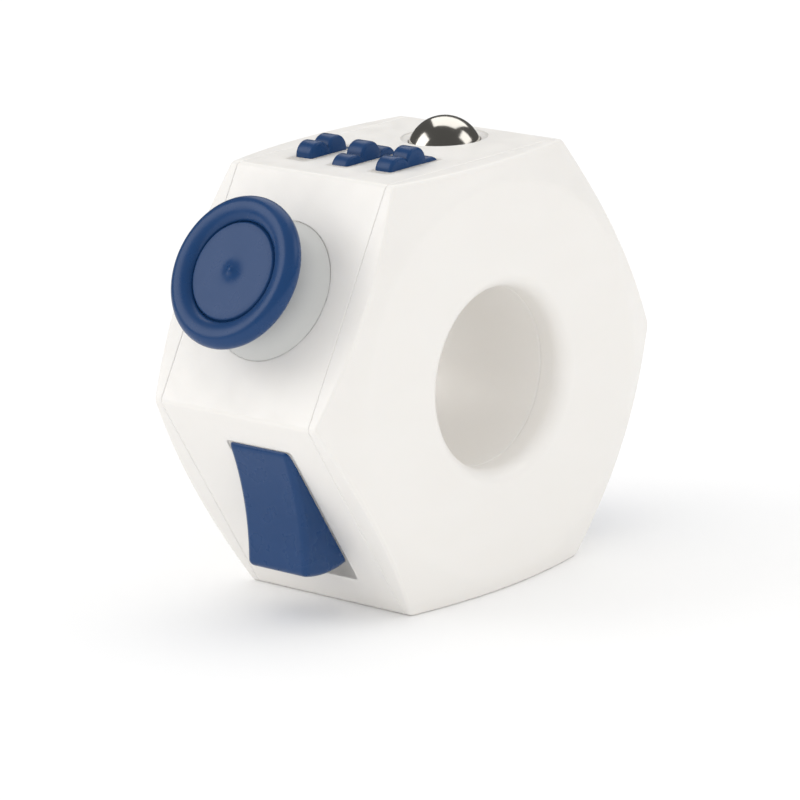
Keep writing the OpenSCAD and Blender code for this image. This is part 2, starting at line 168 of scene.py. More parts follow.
class Graph:
    """A material's node tree, with short calls to add and join nodes."""

    def __init__(self, name: str) -> None:
        """Starts an empty node material with a surface shader."""
        self.material = bpy.data.materials.new(name)
        self.material.use_nodes = True
        self.tree = self.material.node_tree
        self.shader = self.tree.nodes["Principled BSDF"]
        self.coordinates = self.add("ShaderNodeTexCoord").outputs["Object"]

    def add(self, kind: str, **values: object) -> bpy.types.Node:
        """Adds a node.

        Args:
            kind: the node's type.
            values: settings of the node, or of its inputs where an input has that name.

        Returns:
            The new node.
        """
        node = self.tree.nodes.new(kind)
        for key, value in values.items():
            label = key.replace("_", " ").title()
            if label in node.inputs:
                node.inputs[label].default_value = value
            else:
                setattr(node, key, value)
        return node

    def join(self, source: bpy.types.NodeSocket, target: bpy.types.NodeSocket) -> None:
        """Links two sockets."""
        self.tree.links.new(source, target)

    def feed(self, name: str, source: object) -> None:
        """Joins a socket to an input of the surface shader, or sets that input to a value."""
        if isinstance(source, bpy.types.NodeSocket):
            self.join(source, self.shader.inputs[name])
        else:
            self.shader.inputs[name].default_value = source

    def noise(self, scale: float, detail: float = 3.0,
              stretch: Colour = (1.0, 1.0, 1.0)) -> bpy.types.NodeSocket:
        """Adds a noise pattern on object coordinates and returns its value from 0 to 1."""
        place = self.add("ShaderNodeMapping")
        place.inputs["Scale"].default_value = tuple(scale * part for part in stretch)
        self.join(self.coordinates, place.inputs["Vector"])
        pattern = self.add("ShaderNodeTexNoise", scale=1.0, detail=detail)
        self.join(place.outputs["Vector"], pattern.inputs["Vector"])
        return pattern.outputs["Fac"]

    def spread(self, source: bpy.types.NodeSocket, low: float, high: float,
               start: float = 0.3, end: float = 0.7) -> bpy.types.NodeSocket:
        """Maps a value from start..end onto low..high and returns it."""
        node = self.add("ShaderNodeMapRange")
        for name, value in (("From Min", start), ("From Max", end), ("To Min", low), ("To Max", high)):
            node.inputs[name].default_value = value
        self.join(source, node.inputs["Value"])
        return node.outputs["Result"]

    def blend(self, amount: bpy.types.NodeSocket, first: Colour | bpy.types.NodeSocket,
              second: Colour) -> bpy.types.NodeSocket:
        """Blends a colour or colour socket towards a second colour and returns the result."""
        node = self.add("ShaderNodeMix", data_type="RGBA")
        factor, a, b = node.inputs[0], node.inputs[6], node.inputs[7]
        self.join(amount, factor)
        if isinstance(first, tuple):
            a.default_value = (*first, 1.0)
        else:
            self.join(first, a)
        b.default_value = (*second, 1.0)
        return node.outputs[2]

    def edges(self, reach: float) -> bpy.types.NodeSocket:
        """Returns a value that grows from 0 to 1 where the surface bends within this reach."""
        geometry = self.add("ShaderNodeNewGeometry")
        rounded = self.add("ShaderNodeBevel", samples=4, radius=reach)
        match = self.add("ShaderNodeVectorMath", operation="DOT_PRODUCT")
        self.join(rounded.outputs["Normal"], match.inputs[0])
        self.join(geometry.outputs["Normal"], match.inputs[1])
        return self.spread(match.outputs["Value"], 1.0, 0.0, 0.9, 0.995)

    def relief(self, height: bpy.types.NodeSocket, depth: float,
               under: bpy.types.NodeSocket | None = None) -> bpy.types.NodeSocket:
        """Adds a bump of the given depth, on top of another one if given, and returns its normal."""
        bump = self.add("ShaderNodeBump", distance=depth)
        bump.inputs["Strength"].default_value = 1.0
        self.join(height, bump.inputs["Height"])
        if under is not None:
            self.join(under, bump.inputs["Normal"])
        return bump.outputs["Normal"]


@dataclass(frozen=True)
class MouldedPlastic:
    """Injection-moulded plastic with fine grain, faint flow marks, rubbed edges and, where asked, a painted
    highlight on the tops of its grain.

    Args:
        name: the finish's name.
        colour: its main colour.
        flow_colour: the slightly different colour of its flow marks.
        wear_and_highlight_colour: the colour that rubbed edges turn to, and the colour of the painted
            highlight on the tops of the grain.
        smooth: roughness where it is most polished.
        rough: roughness where it is most matt.
        grain: size of one grain.
        grain_depth: height of the grain.
        grain_painted_highlight: how far the tops of the grain take the lighter colour as a painted highlight,
            from 0 to 1.
        edge_wear: how far the edge colour shows, from 0 to 1.
        wear_reach: how far from an edge the wear spreads.
        glow: share of light that scatters below the surface.
        sheen: strength of its reflections.
    """

    name: str
    colour: Colour
    flow_colour: Colour
    wear_and_highlight_colour: Colour
    smooth: float
    rough: float
    grain: float = 0.25 * MM
    grain_depth: float = 0.003 * MM
    grain_painted_highlight: float = 0.0
    edge_wear: float = 0.3
    wear_reach: float = 0.25 * MM
    glow: float = 0.0
    sheen: float = 0.5

    FLOW_SCALE, PATCH_SCALE = 90.0, 420.0
    RIPPLE_DEPTH = 0.03 * MM
    SCATTER_DEPTH = 0.8 * MM

    def build(self) -> bpy.types.Material:
        """Makes the material."""
        g = Graph(self.name)
        flow = g.noise(self.FLOW_SCALE, 4.0, (1.0, 1.0, 2.5))
        patches = g.noise(self.PATCH_SCALE)
        fine = g.noise(1.0 / self.grain, 2.0)
        colour = g.blend(g.spread(flow, 0.0, 1.0), self.colour, self.flow_colour)
        worn = g.spread(g.edges(self.wear_reach), 0.0, self.edge_wear, 0.0, 1.0)
        # Painted highlight: the tops of the fine grain are blended towards the lighter wear and highlight
        # colour.
        grain_highlighted = g.blend(g.spread(fine, 0.0, self.grain_painted_highlight, 0.4, 0.62), colour, self.wear_and_highlight_colour)
        g.feed("Base Color", g.blend(worn, grain_highlighted, self.wear_and_highlight_colour))
        g.feed("Roughness", g.spread(patches, self.smooth, self.rough))
        ripple = g.relief(flow, self.RIPPLE_DEPTH)
        g.feed("Normal", g.relief(fine, self.grain_depth, ripple))
        g.feed("IOR", 1.46)
        g.feed("Specular IOR Level", self.sheen)
        if self.glow > 0.0:
            g.feed("Subsurface Weight", self.glow)
            g.feed("Subsurface Radius", (1.0, 0.9, 0.75))
            g.feed("Subsurface Scale", self.SCATTER_DEPTH)
        return g.material


@dataclass(frozen=True)
class PolishedSteel:
    """Polished ball steel with hairline scratches and faint finger marks.

    Args:
        name: the finish's name.
        colour: the metal's colour.
        smooth: roughness of the clean polish.
        smeared: roughness under a finger mark.
    """

    name: str
    colour: Colour
    smooth: float
    smeared: float

    SMEAR_SCALE, HAIR_SCALE = 260.0, 900.0
    HAIR_DEPTH = 0.0006 * MM

    def build(self) -> bpy.types.Material:
        """Makes the material."""
        g = Graph(self.name)
        smears = g.noise(self.SMEAR_SCALE, 4.0)
        hairs = g.noise(self.HAIR_SCALE, 2.0, (1.0, 9.0, 1.0))
        tint = tuple(0.93 * c for c in self.colour)
        g.feed("Base Color", g.blend(g.spread(smears, 0.0, 1.0), self.colour, tint))
        g.feed("Roughness", g.spread(smears, self.smooth, self.smeared, 0.45, 0.75))
        g.feed("Normal", g.relief(hairs, self.HAIR_DEPTH))
        g.feed("Metallic", 1.0)
        return g.material


@dataclass(frozen=True)
class DrawnSteel:
    """Ground pin steel or drawn spring wire, with marks along its length.

    Args:
        name: the finish's name.
        colour: the metal's colour.
        smooth: roughness of the bright marks.
        rough: roughness of the dull ones.
        marks: stretch of the marks along X, Y and Z.
    """

    name: str
    colour: Colour
    smooth: float
    rough: float
    marks: Colour

    MARK_SCALE, STAIN_SCALE = 1500.0, 300.0
    MARK_DEPTH = 0.004 * MM

    def build(self) -> bpy.types.Material:
        """Makes the material."""
        g = Graph(self.name)
        lines = g.noise(self.MARK_SCALE, stretch=self.marks)
        stains = g.noise(self.STAIN_SCALE)
        dark = tuple(0.72 * c for c in self.colour)
        g.feed("Base Color", g.blend(g.spread(stains, 0.0, 0.8), self.colour, dark))
        g.feed("Roughness", g.spread(lines, self.smooth, self.rough))
        g.feed("Normal", g.relief(lines, self.MARK_DEPTH))
        g.feed("Metallic", 1.0)
        return g.material


@dataclass(frozen=True)
class StudioPaper:
    """Pale paper of the studio floor.

    Args:
        name: the finish's name.
        colour: the paper's colour.
    """

    name: str
    colour: Colour

    FIBRE_SCALE = 700.0
    FIBRE_DEPTH = 0.01 * MM

    def build(self) -> bpy.types.Material:
        """Makes the material."""
        g = Graph(self.name)
        fibres = g.noise(self.FIBRE_SCALE)
        g.feed("Normal", g.relief(fibres, self.FIBRE_DEPTH))
        g.feed("Base Color", (*self.colour, 1.0))
        g.feed("Roughness", 0.9)
        g.feed("Specular IOR Level", 0.1)
        return g.material


@dataclass(frozen=True)
class Glow:
    """An evenly bright or dark surface that only reflections show.

    Args:
        name: the finish's name.
        strength: its brightness.
    """

    name: str
    strength: float

    def build(self) -> bpy.types.Material:
        """Makes the material."""
        g = Graph(self.name)
        g.feed("Base Color", (0.0, 0.0, 0.0, 1.0))
        g.feed("Specular IOR Level", 0.0)
        g.feed("Emission Color", (1.0, 0.985, 0.96, 1.0))
        g.feed("Emission Strength", self.strength)
        return g.material


class Finishes:
    """The finishes of the whole toy, each built once."""

    def __init__(self) -> None:
        """Builds every material."""
        white, chalk = (0.87, 0.848, 0.815), (0.93, 0.92, 0.90)
        blue, pale_blue = (0.010, 0.048, 0.150), (0.04, 0.10, 0.23)
        self.body = MouldedPlastic(
            "body_white_plastic", white, (0.86, 0.837, 0.801), chalk, 0.36, 0.5, glow=0.08
        ).build()
        # The dome's colour is its own cooler grey-white, darkened further as painted shade for the shadow
        # under the cap.
        self.dome = MouldedPlastic(
            "dome_plastic_painted_shade", (0.63, 0.633, 0.615), (0.61, 0.613, 0.595), chalk, 0.4, 0.55
        ).build()
        self.inner = MouldedPlastic(
            "inner_grey_plastic", (0.6, 0.61, 0.6), (0.56, 0.57, 0.565), chalk, 0.42, 0.6
        ).build()
        self.blue = MouldedPlastic(
            "deep_blue_plastic", blue, (0.012, 0.052, 0.158), pale_blue, 0.24, 0.34,
            grain_depth=0.002 * MM, edge_wear=0.18, sheen=0.3,
        ).build()
        # The grained disc's lighter grain tops are a painted highlight.
        self.grained_blue = MouldedPlastic(
            "grained_blue_plastic", (0.016, 0.044, 0.118), (0.015, 0.042, 0.114), (0.08, 0.125, 0.22),
            0.36, 0.46, grain=0.3 * MM, grain_depth=0.05 * MM, grain_painted_highlight=0.3,
        ).build()
        self.ball = PolishedSteel("polished_ball_steel", (0.63, 0.61, 0.57), 0.13, 0.19).build()
        self.pin = DrawnSteel("ground_pin_steel", (0.55, 0.55, 0.56), 0.2, 0.38, (1.0, 0.15, 1.0)).build()
        self.wire = DrawnSteel("drawn_spring_steel", (0.42, 0.42, 0.43), 0.25, 0.42, (1.0, 1.0, 1.0)).build()
        self.paper = StudioPaper("studio_paper", (0.99, 0.99, 0.99)).build()
        self.dusk = Glow("studio_dusk", 0.11).build()
        self.screen = Glow("studio_screen", 1.7).build()
        self.bright_screen = Glow("studio_bright_screen", 2.1).build()


# Modelling


@dataclass(frozen=True)
class Level:
    """One outline of a stacked cutter: a circle, a slot or a rectangle with round corners.

    Args:
        z: its height.
        corner: radius of its corners.
        reach_x: how far the corners' centres lie from the middle along X.
        reach_y: the same along Y.
    """

    z: float
    corner: float
    reach_x: float = 0.0
    reach_y: float = 0.0


class Shaping:
    """Mesh shapes that several pieces share, each as a new bmesh in its maker's own frame."""

    OVERSHOOT = 1.0 * MM
    SAME_PLACE = 1e-7

    @staticmethod
    def outwards(bm: bmesh.types.BMesh) -> bmesh.types.BMesh:
        """Turns every face of a closed shape outwards."""
        bmesh.ops.recalc_face_normals(bm, faces=bm.faces)
        if bm.calc_volume(signed=True) < 0.0:
            bmesh.ops.reverse_faces(bm, faces=bm.faces)
        return bm

    @staticmethod
    def lathe(profile: Sequence[Ring], steps: int, closed: bool = False) -> bmesh.types.BMesh:
        """Turns a profile about Z.

        Args:
            profile: points as (radius, z), from one end to the other.
            steps: divisions of the full turn.
            closed: whether the profile's last point joins its first, for a hollow ring.

        Returns:
            The turned shape, with poles merged and normals outwards.
        """
        bm = bmesh.new()
        verts = [bm.verts.new((r, 0.0, z)) for r, z in profile]
        edges = [bm.edges.new(pair) for pair in zip(verts, verts[1:])]
        if closed:
            edges.append(bm.edges.new((verts[-1], verts[0])))
        bmesh.ops.spin(
            bm, geom=verts + edges, cent=(0, 0, 0), axis=(0, 0, 1), dvec=(0, 0, 0),
            angle=math.tau, steps=steps, use_merge=True, use_duplicate=False,
        )
        bmesh.ops.remove_doubles(bm, verts=bm.verts, dist=Shaping.SAME_PLACE)
        return Shaping.outwards(bm)

    @staticmethod
    def stack(levels: Sequence[Level], segments: int = 64) -> bmesh.types.BMesh:
        """Stacks outlines along Z and closes both ends.

        Args:
            levels: the outlines, from one end to the other.
            segments: points of each outline, a multiple of four.

        Returns:
            The closed shape, with normals outwards.
        """
        bm = bmesh.new()
        loops = []
        for index, level in enumerate(levels):
            made = bmesh.ops.create_circle(
                bm, cap_ends=index in (0, len(levels) - 1), segments=segments, radius=level.corner,
                matrix=Matrix.Translation((0, 0, level.z)) @ Matrix.Rotation(math.pi / segments, 4, "Z"),
            )["verts"]
            for v in made:
                v.co.x += math.copysign(level.reach_x, v.co.x)
                v.co.y += math.copysign(level.reach_y, v.co.y)
            ring = set(made)
            loops.append([e for e in bm.edges if e.verts[0] in ring and e.verts[1] in ring])
        for low, high in zip(loops, loops[1:]):
            bmesh.ops.bridge_loops(bm, edges=low + high)
        return Shaping.outwards(bm)

    @staticmethod
    def quarter(steps: int) -> list[Ring]:
        """Gives 1 - sine and 1 - cosine over a quarter turn, the two insets of a rounded edge."""
        turns = [math.pi / 2 * k / steps for k in range(steps + 1)]
        return [(1 - math.sin(t), 1 - math.cos(t)) for t in turns]

    @classmethod
    def mouth(cls, base: Level, rim: float, steps: int = 5) -> list[Level]:
        """Gives the levels that round a cutter's mouth and carry it on outside the face.

        Args:
            base: the cutter's outline, with its z at the face.
            rim: radius of the rounding.
            steps: divisions of the rounding.

        Returns:
            Levels from the bottom of the rounding upwards.
        """
        levels = [
            replace(base, z=base.z - rim * down, corner=base.corner + rim * out)
            for down, out in cls.quarter(steps)
        ]
        return [*levels, replace(base, z=base.z + cls.OVERSHOOT, corner=base.corner + rim)]

    @classmethod
    def opening(cls, base: Level, depth: float, rim: float) -> list[Level]:
        """Gives the levels of a straight cutter of this depth with a rounded mouth."""
        return [replace(base, z=base.z - depth), *cls.mouth(base, rim)]

    @staticmethod
    def loft(count: int, loops: Sequence[Callable[[int], Sequence[float]]], ring: bool) -> bmesh.types.BMesh:
        """Joins loops of points one after another.

        Args:
            count: number of points in each loop.
            loops: one function for each loop, giving the place of its point with this number.
            ring: whether the last loop joins the first; otherwise both are closed by a face.

        Returns:
            The closed shape, with normals outwards.
        """
        bm = bmesh.new()

        def around(way: Sequence[bmesh.types.BMVert]) -> list[bmesh.types.BMEdge]:
            """Gives the edges of a closed loop of points."""
            return [bm.edges.get((a, b)) for a, b in zip(way, way[1:] + way[:1])]

        first = bmesh.ops.create_circle(bm, cap_ends=False, segments=count, radius=1.0)["verts"]
        loop = first
        for number, place in enumerate(loops):
            if number > 0:
                made = bmesh.ops.extrude_edge_only(bm, edges=around(loop))["geom"]
                fresh = {g for g in made if isinstance(g, bmesh.types.BMVert)}
                loop = [next(o for e in v.link_edges if (o := e.other_vert(v)) in fresh) for v in loop]
            for index, v in enumerate(loop):
                v.co = place(index)
        if ring:
            bmesh.ops.bridge_loops(bm, edges=around(first) + around(loop))
        else:
            for way in (first, loop):
                bmesh.ops.contextual_create(bm, geom=around(way))
        bmesh.ops.remove_doubles(bm, verts=bm.verts, dist=Shaping.SAME_PLACE)
        return Shaping.outwards(bm)

    @classmethod
    def polar(cls, angles: Sequence[float], rings: Sequence[Loop]) -> bmesh.types.BMesh:
        """Builds a ring-shaped solid from loops around Y.

        Args:
            angles: the loops' points, as angles in radians from +X towards +Z.
            rings: one function for each loop, giving (radius, y) at an angle.

        Returns:
            The closed solid, with normals outwards.
        """

        def around(ring: Loop) -> Callable[[int], tuple[float, float, float]]:
            """Turns a loop's radius and y into places."""

            def place(index: int) -> tuple[float, float, float]:
                """Gives the place of one point."""
                r, y = ring(angles[index])
                return (r * math.cos(angles[index]), y, r * math.sin(angles[index]))

            return place

        return cls.loft(len(angles), [around(ring) for ring in rings], ring=True)

    @staticmethod
    def coil(mean_r: float, wire_r: float, low: float, high: float, turns: float) -> bmesh.types.BMesh:
        """Winds a round wire into an open coil along Z between two heights."""
        bm = bmesh.new()
        wire = bmesh.ops.create_circle(
            bm, cap_ends=True, segments=14, radius=wire_r,
            matrix=Matrix.Translation((mean_r, 0, low + wire_r)) @ Matrix.Rotation(math.pi / 2, 4, "X"),
        )["verts"]
        steps = round(40 * turns)
        rise = (high - low - 2 * wire_r) / steps
        faces = list(bm.faces)
        bmesh.ops.spin(
            bm, geom=wire + list(bm.edges) + faces, cent=(0, 0, 0), axis=(0, 0, 1),
            dvec=(0, 0, rise), angle=math.tau * turns, steps=steps, use_merge=False, use_duplicate=False,
        )
        bmesh.ops.remove_doubles(bm, verts=bm.verts, dist=Shaping.SAME_PLACE)
        bmesh.ops.recalc_face_normals(bm, faces=bm.faces)
        return bm

    @staticmethod
    def flange(radius: float, top: float, low: float, chamfer: float = 0.1 * MM) -> list[Ring]:
        """Gives the profile of a flange with broken edges, from its upper side down."""
        inset = radius - chamfer
        return [(inset, top), (radius, top - chamfer), (radius, low + chamfer), (inset, low)]

    @staticmethod
    def arc(centre: Ring, radius: float, start: float, end: float, steps: int) -> list[Ring]:
        """Gives the points of an arc, by its angles in degrees."""
        turns = [math.radians(start + (end - start) * k / steps) for k in range(steps + 1)]
        return [(centre[0] + radius * math.cos(a), centre[1] + radius * math.sin(a)) for a in turns]


class Workshop:
    """Turns a bmesh into a finished piece that rides on its body."""

    CUT_DEPTH = 4.0 * MM
    CLOSE, THIN = 2e-6, 1e-6
    FLAT_WEIGHT = 80

    def __init__(self, finishes: Finishes) -> None:
        """Keeps the finishes."""
        self.finishes = finishes

    @staticmethod
    def raw(name: str, bm: bmesh.types.BMesh, place: Matrix) -> bpy.types.Object:
        """Makes a plain object from a bmesh, with its place in its mesh."""
        bmesh.ops.transform(bm, matrix=place, verts=bm.verts)
        mesh = bpy.data.meshes.new(name)
        bm.to_mesh(mesh)
        bm.free()
        item = bpy.data.objects.new(name, mesh)
        bpy.context.scene.collection.objects.link(item)
        return item

    def cut(self, target: bpy.types.Object, cutters: Sequence[bpy.types.Object]) -> None:
        """Cuts shapes out of a piece, for good, in millimetres for accuracy, and removes them."""
        for item in (target, *cutters):
            item.data.transform(Matrix.Scale(1 / MM, 4))
        for cutter in cutters:
            step = target.modifiers.new("cut", "BOOLEAN")
            step.operation = "DIFFERENCE"
            step.solver = "MANIFOLD"
            step.object = cutter
        bpy.context.view_layer.update()
        graph = bpy.context.evaluated_depsgraph_get()
        mesh = bpy.data.meshes.new_from_object(target.evaluated_get(graph))
        target.modifiers.clear()
        mesh.transform(Matrix.Scale(MM, 4))
        target.data = mesh
        for cutter in cutters:
            bpy.data.objects.remove(cutter)
        bm = bmesh.new()
        bm.from_mesh(mesh)
        bmesh.ops.remove_doubles(bm, verts=bm.verts, dist=self.CLOSE)
        bmesh.ops.dissolve_degenerate(bm, edges=bm.edges, dist=self.THIN)
        bm.to_mesh(mesh)
        bm.free()

    def round_hole(self, name: str, radius: float, rim: float, segments: int,
                   place: Matrix) -> bpy.types.Object:
        """Makes the shape that cuts a round hole with a rounded mouth through the band's wall."""
        levels = Shaping.opening(Level(0.0, radius), self.CUT_DEPTH, rim)
        return self.raw(name, Shaping.stack(levels, segments), place)

    def finish(self, item: bpy.types.Object, body: str, slot: str, materials: Sequence[bpy.types.Material],
               replaces: Sequence[str] = (), sharp: float = 42.0, weighted: bool = True) -> bpy.types.Object:
        """Shades and dresses a piece, sets it on its body and hides the frame's nodes that it stands for.

        Args:
            item: the piece.
            body: the frame's body that it rides on.
            slot: the record's material slot; not used.
            materials: its materials, in the order of its faces' material numbers.
            replaces: the frame's nodes that it stands for.
            sharp: edges that bend more than this many degrees stay sharp.
            weighted: whether large faces keep their flat shading.

        Returns:
            The finished piece.
        """
        mesh = item.data
        mesh.materials.clear()
        for material in materials:
            mesh.materials.append(material)
        mesh.shade_smooth()
        mesh.set_sharp_from_angle(angle=math.radians(sharp))
        if weighted:
            step = item.modifiers.new("weighted_normals", "WEIGHTED_NORMAL")
            step.keep_sharp = True
            step.weight = self.FLAT_WEIGHT
        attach(item, body)
        if replaces:
            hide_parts(*replaces)
        LOG.info("%s: %d faces on %s", item.name, len(mesh.polygons), body)
        return item

    def dress_node(self, node: bpy.types.Object, material: bpy.types.Material, softening: float) -> None:
        """Gives a node of the frame its finish and breaks its sharp edges.

        Args:
            node: the node's object.
            material: its finish.
            softening: width of the broken edges.
        """
        node.data.materials.clear()
        node.data.materials.append(material)
        if softening > 0.0:
            weld = node.modifiers.new("weld", "WELD")
            weld.merge_threshold = self.THIN
            step = node.modifiers.new("broken_edges", "BEVEL")
            step.width = softening
            step.segments = 2
            step.limit_method = "ANGLE"
            step.angle_limit = math.radians(50)
            normals = node.modifiers.new("weighted_normals", "WEIGHTED_NORMAL")
            normals.weight = self.FLAT_WEIGHT
        LOG.info("%s: dressed", node.name)


@dataclass
class Section:
    """One section of the toy, made to the body's measures.

    Args:
        body: main measures.
        shop: makes the finished pieces.
    """

    body: Body
    shop: Workshop


# Casing


@dataclass
class Casing(Section):
    """The white casing: the middle band, its two covers and the sleeve of the finger hole.

    Args:
        corner_r: rounding of the six corners between side faces.
        edge_r: rounding of a cover's outer edge.
        parting_r: rounding at a parting line.
        wall: wall of the band.
        circle_r: radius of the round flat on the front and rear faces.
        cone_slope: fall of the turned chamfer outside that flat.
        cone_blend: softness of the edge between flat and chamfer.
        mouth_r: rounding of the finger hole's mouth.
        pocket: depth of the pocket inside a cover.
    """

    corner_r: float = 0.7 * MM
    edge_r: float = 0.45 * MM
    parting_r: float = 0.14 * MM
    wall: float = 2.0 * MM
    circle_r: float = 21.8 * MM
    cone_slope: float = 0.4445
    cone_blend: float = 0.28 * MM
    mouth_r: float = 1.8 * MM
    pocket: float = 1.5 * MM

    RING_RADII = (13.0, 15.5, 18.0, 20.0, 20.8, 21.2, 21.5, 21.8, 22.1, 22.4, 22.8)

    @staticmethod
    def corner(apothem: float, corner_r: float) -> Ring:
        """Gives the distance of a round corner's centre from the middle, and half its angle there."""
        centre = (apothem - corner_r) / math.cos(math.pi / 6)
        return centre, math.atan2(corner_r / 2, centre + corner_r * math.cos(math.pi / 6))

    def outline(self, apothem: float, corner_r: float) -> Callable[[float], float]:
        """Gives the radius of a rounded hexagon as a function of the angle from +X.

        Args:
            apothem: distance to the hexagon's sides.
            corner_r: rounding of its corners.

        Returns:
            A function from angle to radius.
        """
        centre, reach = self.corner(apothem, corner_r)

        def radius(angle: float) -> float:
            """Radius of the outline at this angle."""
            off = (angle + math.pi / 6) % (math.pi / 3) - math.pi / 6
            if abs(off) < reach:
                return centre * math.cos(off) + math.sqrt(corner_r**2 - (centre * math.sin(off)) ** 2)
            return apothem / math.cos(math.pi / 6 - abs(off))

        return radius

    def angles(self, between: int) -> list[float]:
        """Gives the angles of a loop, close together at the corners.

        Args:
            between: divisions of each side face.

        Returns:
            Angles in radians over one turn.
        """
        reach = self.corner(self.body.apothem, self.corner_r)[1]
        found = []
        for corner in range(6):
            start = corner * math.pi / 3
            found += [start + reach * k / 4 for k in range(-4, 5)]
            span = math.pi / 3 - 2 * reach
            found += [start + reach + span * k / between for k in range(1, between)]
        return found

    def crown(self, radius: float) -> float:
        """Height of a cover's outer surface below its flat face, at this radius from the hole's axis."""
        w = self.cone_blend
        return self.cone_slope * w * math.log1p(math.exp((radius - self.circle_r) / w))

    def cover(self, name: str, node: str, sign: int) -> bpy.types.Object:
        """Makes one cover: the rounded mouth, the flat ring, the turned chamfer, the rim and its pocket.

        Args:
            name: the piece's name.
            node: the frame's node that it stands for.
            sign: 1 for the rear cover, -1 for the front one.

        Returns:
            The finished cover.
        """
        b = self.body
        outer = self.outline(b.apothem, self.corner_r)
        inner = self.outline(b.apothem - self.wall, self.corner_r)
        lip = self.parting_r
        rings: list[Loop] = []

        def circle(r: float, y: float) -> None:
            """Adds a round loop."""
            rings.append(lambda a, r=r, y=y: (r, y))

        def rim(inset: float, y: float) -> None:
            """Adds a loop that follows the outline."""
            rings.append(lambda a, inset=inset, y=y: (outer(a) - inset, y))

        for s, c in Shaping.quarter(3):
            circle(b.bore_r + lip * s, b.half_band + lip * c)
        for s, c in Shaping.quarter(8):
            circle(b.bore_r + self.mouth_r * c, b.half_depth - self.mouth_r * s)
        for r in self.RING_RADII:
            circle(r * MM, b.half_depth - self.crown(r * MM))
        start = self.RING_RADII[-1] * MM
        for k in range(1, 5):
            rings.append(lambda a, k=k: (
                (r := start + (outer(a) - self.edge_r - start) * k / 5), b.half_depth - self.crown(r),
            ))
        for s, c in Shaping.quarter(6):
            rings.append(lambda a, s=s, c=c: (
                outer(a) - self.edge_r * s,
                b.half_depth - self.crown(outer(a) - self.edge_r) - self.edge_r * c,
            ))
        for s, c in Shaping.quarter(3):
            rim(lip * c, b.half_band + lip * s)
        pocket_r = self.circle_r + 0.7 * MM
        for y in (b.half_band, b.half_band + self.pocket):
            rings.append(lambda a, y=y: (min(inner(a), pocket_r), y))
        ring_r = b.sleeve_r + 0.8 * MM
        circle(ring_r, b.half_band + self.pocket)
        circle(ring_r, b.half_band)
        bm = Shaping.polar(self.angles(28), rings)
        if sign < 0:
            bmesh.ops.scale(bm, vec=(1, -1, 1), verts=bm.verts)
            bmesh.ops.reverse_faces(bm, faces=bm.faces)
        item = self.shop.raw(name, bm, Matrix.Identity(4))
        f = self.shop.finishes
        return self.shop.finish(item, "housing", "body_white", [f.body], [node], sharp=50.0)

    def blank(self) -> bpy.types.Object:
        """Makes the band before its windows are cut."""
        b, lip = self.body, self.parting_r
        outer = self.outline(b.apothem, self.corner_r)
        inner = self.outline(b.apothem - self.wall, self.corner_r)
        rings: list[Loop] = []
        edge = Shaping.quarter(3)
        for sign, order in ((-1, reversed(edge)), (1, edge)):
            for s, c in order:
                rings.append(lambda a, s=s, c=c, sign=sign: (
                    outer(a) - lip * c, sign * (b.half_band - lip * s),
                ))
        for sign in (1, -1):
            rings.append(lambda a, sign=sign: (inner(a), sign * b.half_band))
        return self.shop.raw("band", Shaping.polar(self.angles(1), rings), Matrix.Identity(4))

    def band(self, cutters: Sequence[bpy.types.Object]) -> bpy.types.Object:
        """Cuts the playthings' windows into the band and finishes it."""
        item = self.blank()
        self.shop.cut(item, cutters)
        f = self.shop.finishes
        return self.shop.finish(item, "housing", "body_white", [f.body], ["middle_band"], sharp=50.0)

    def sleeve(self) -> bpy.types.Object:
        """Makes the lining of the finger hole, with a stepped joint at each end."""
        b, lip = self.body, self.parting_r
        step_l, step_r = 1.2 * MM, (b.bore_r + b.sleeve_r) / 2
        half = [
            (b.bore_r + lip, b.half_band), (step_r, b.half_band),
            (step_r, b.half_band + step_l), (b.sleeve_r, b.half_band + step_l),
        ]
        low = [(r, -y) for r, y in reversed(half)]
        profile = [(b.bore_r, b.half_band - lip), *half, *low, (b.bore_r, -b.half_band + lip)]
        bm = Shaping.lathe(profile, 128, closed=True)
        item = self.shop.raw("finger_hole_lining", bm, Matrix.Rotation(-math.pi / 2, 4, "X"))
        f = self.shop.finishes
        return self.shop.finish(item, "housing", "body_white", [f.body], ["bore_sleeve"])


# Playthings


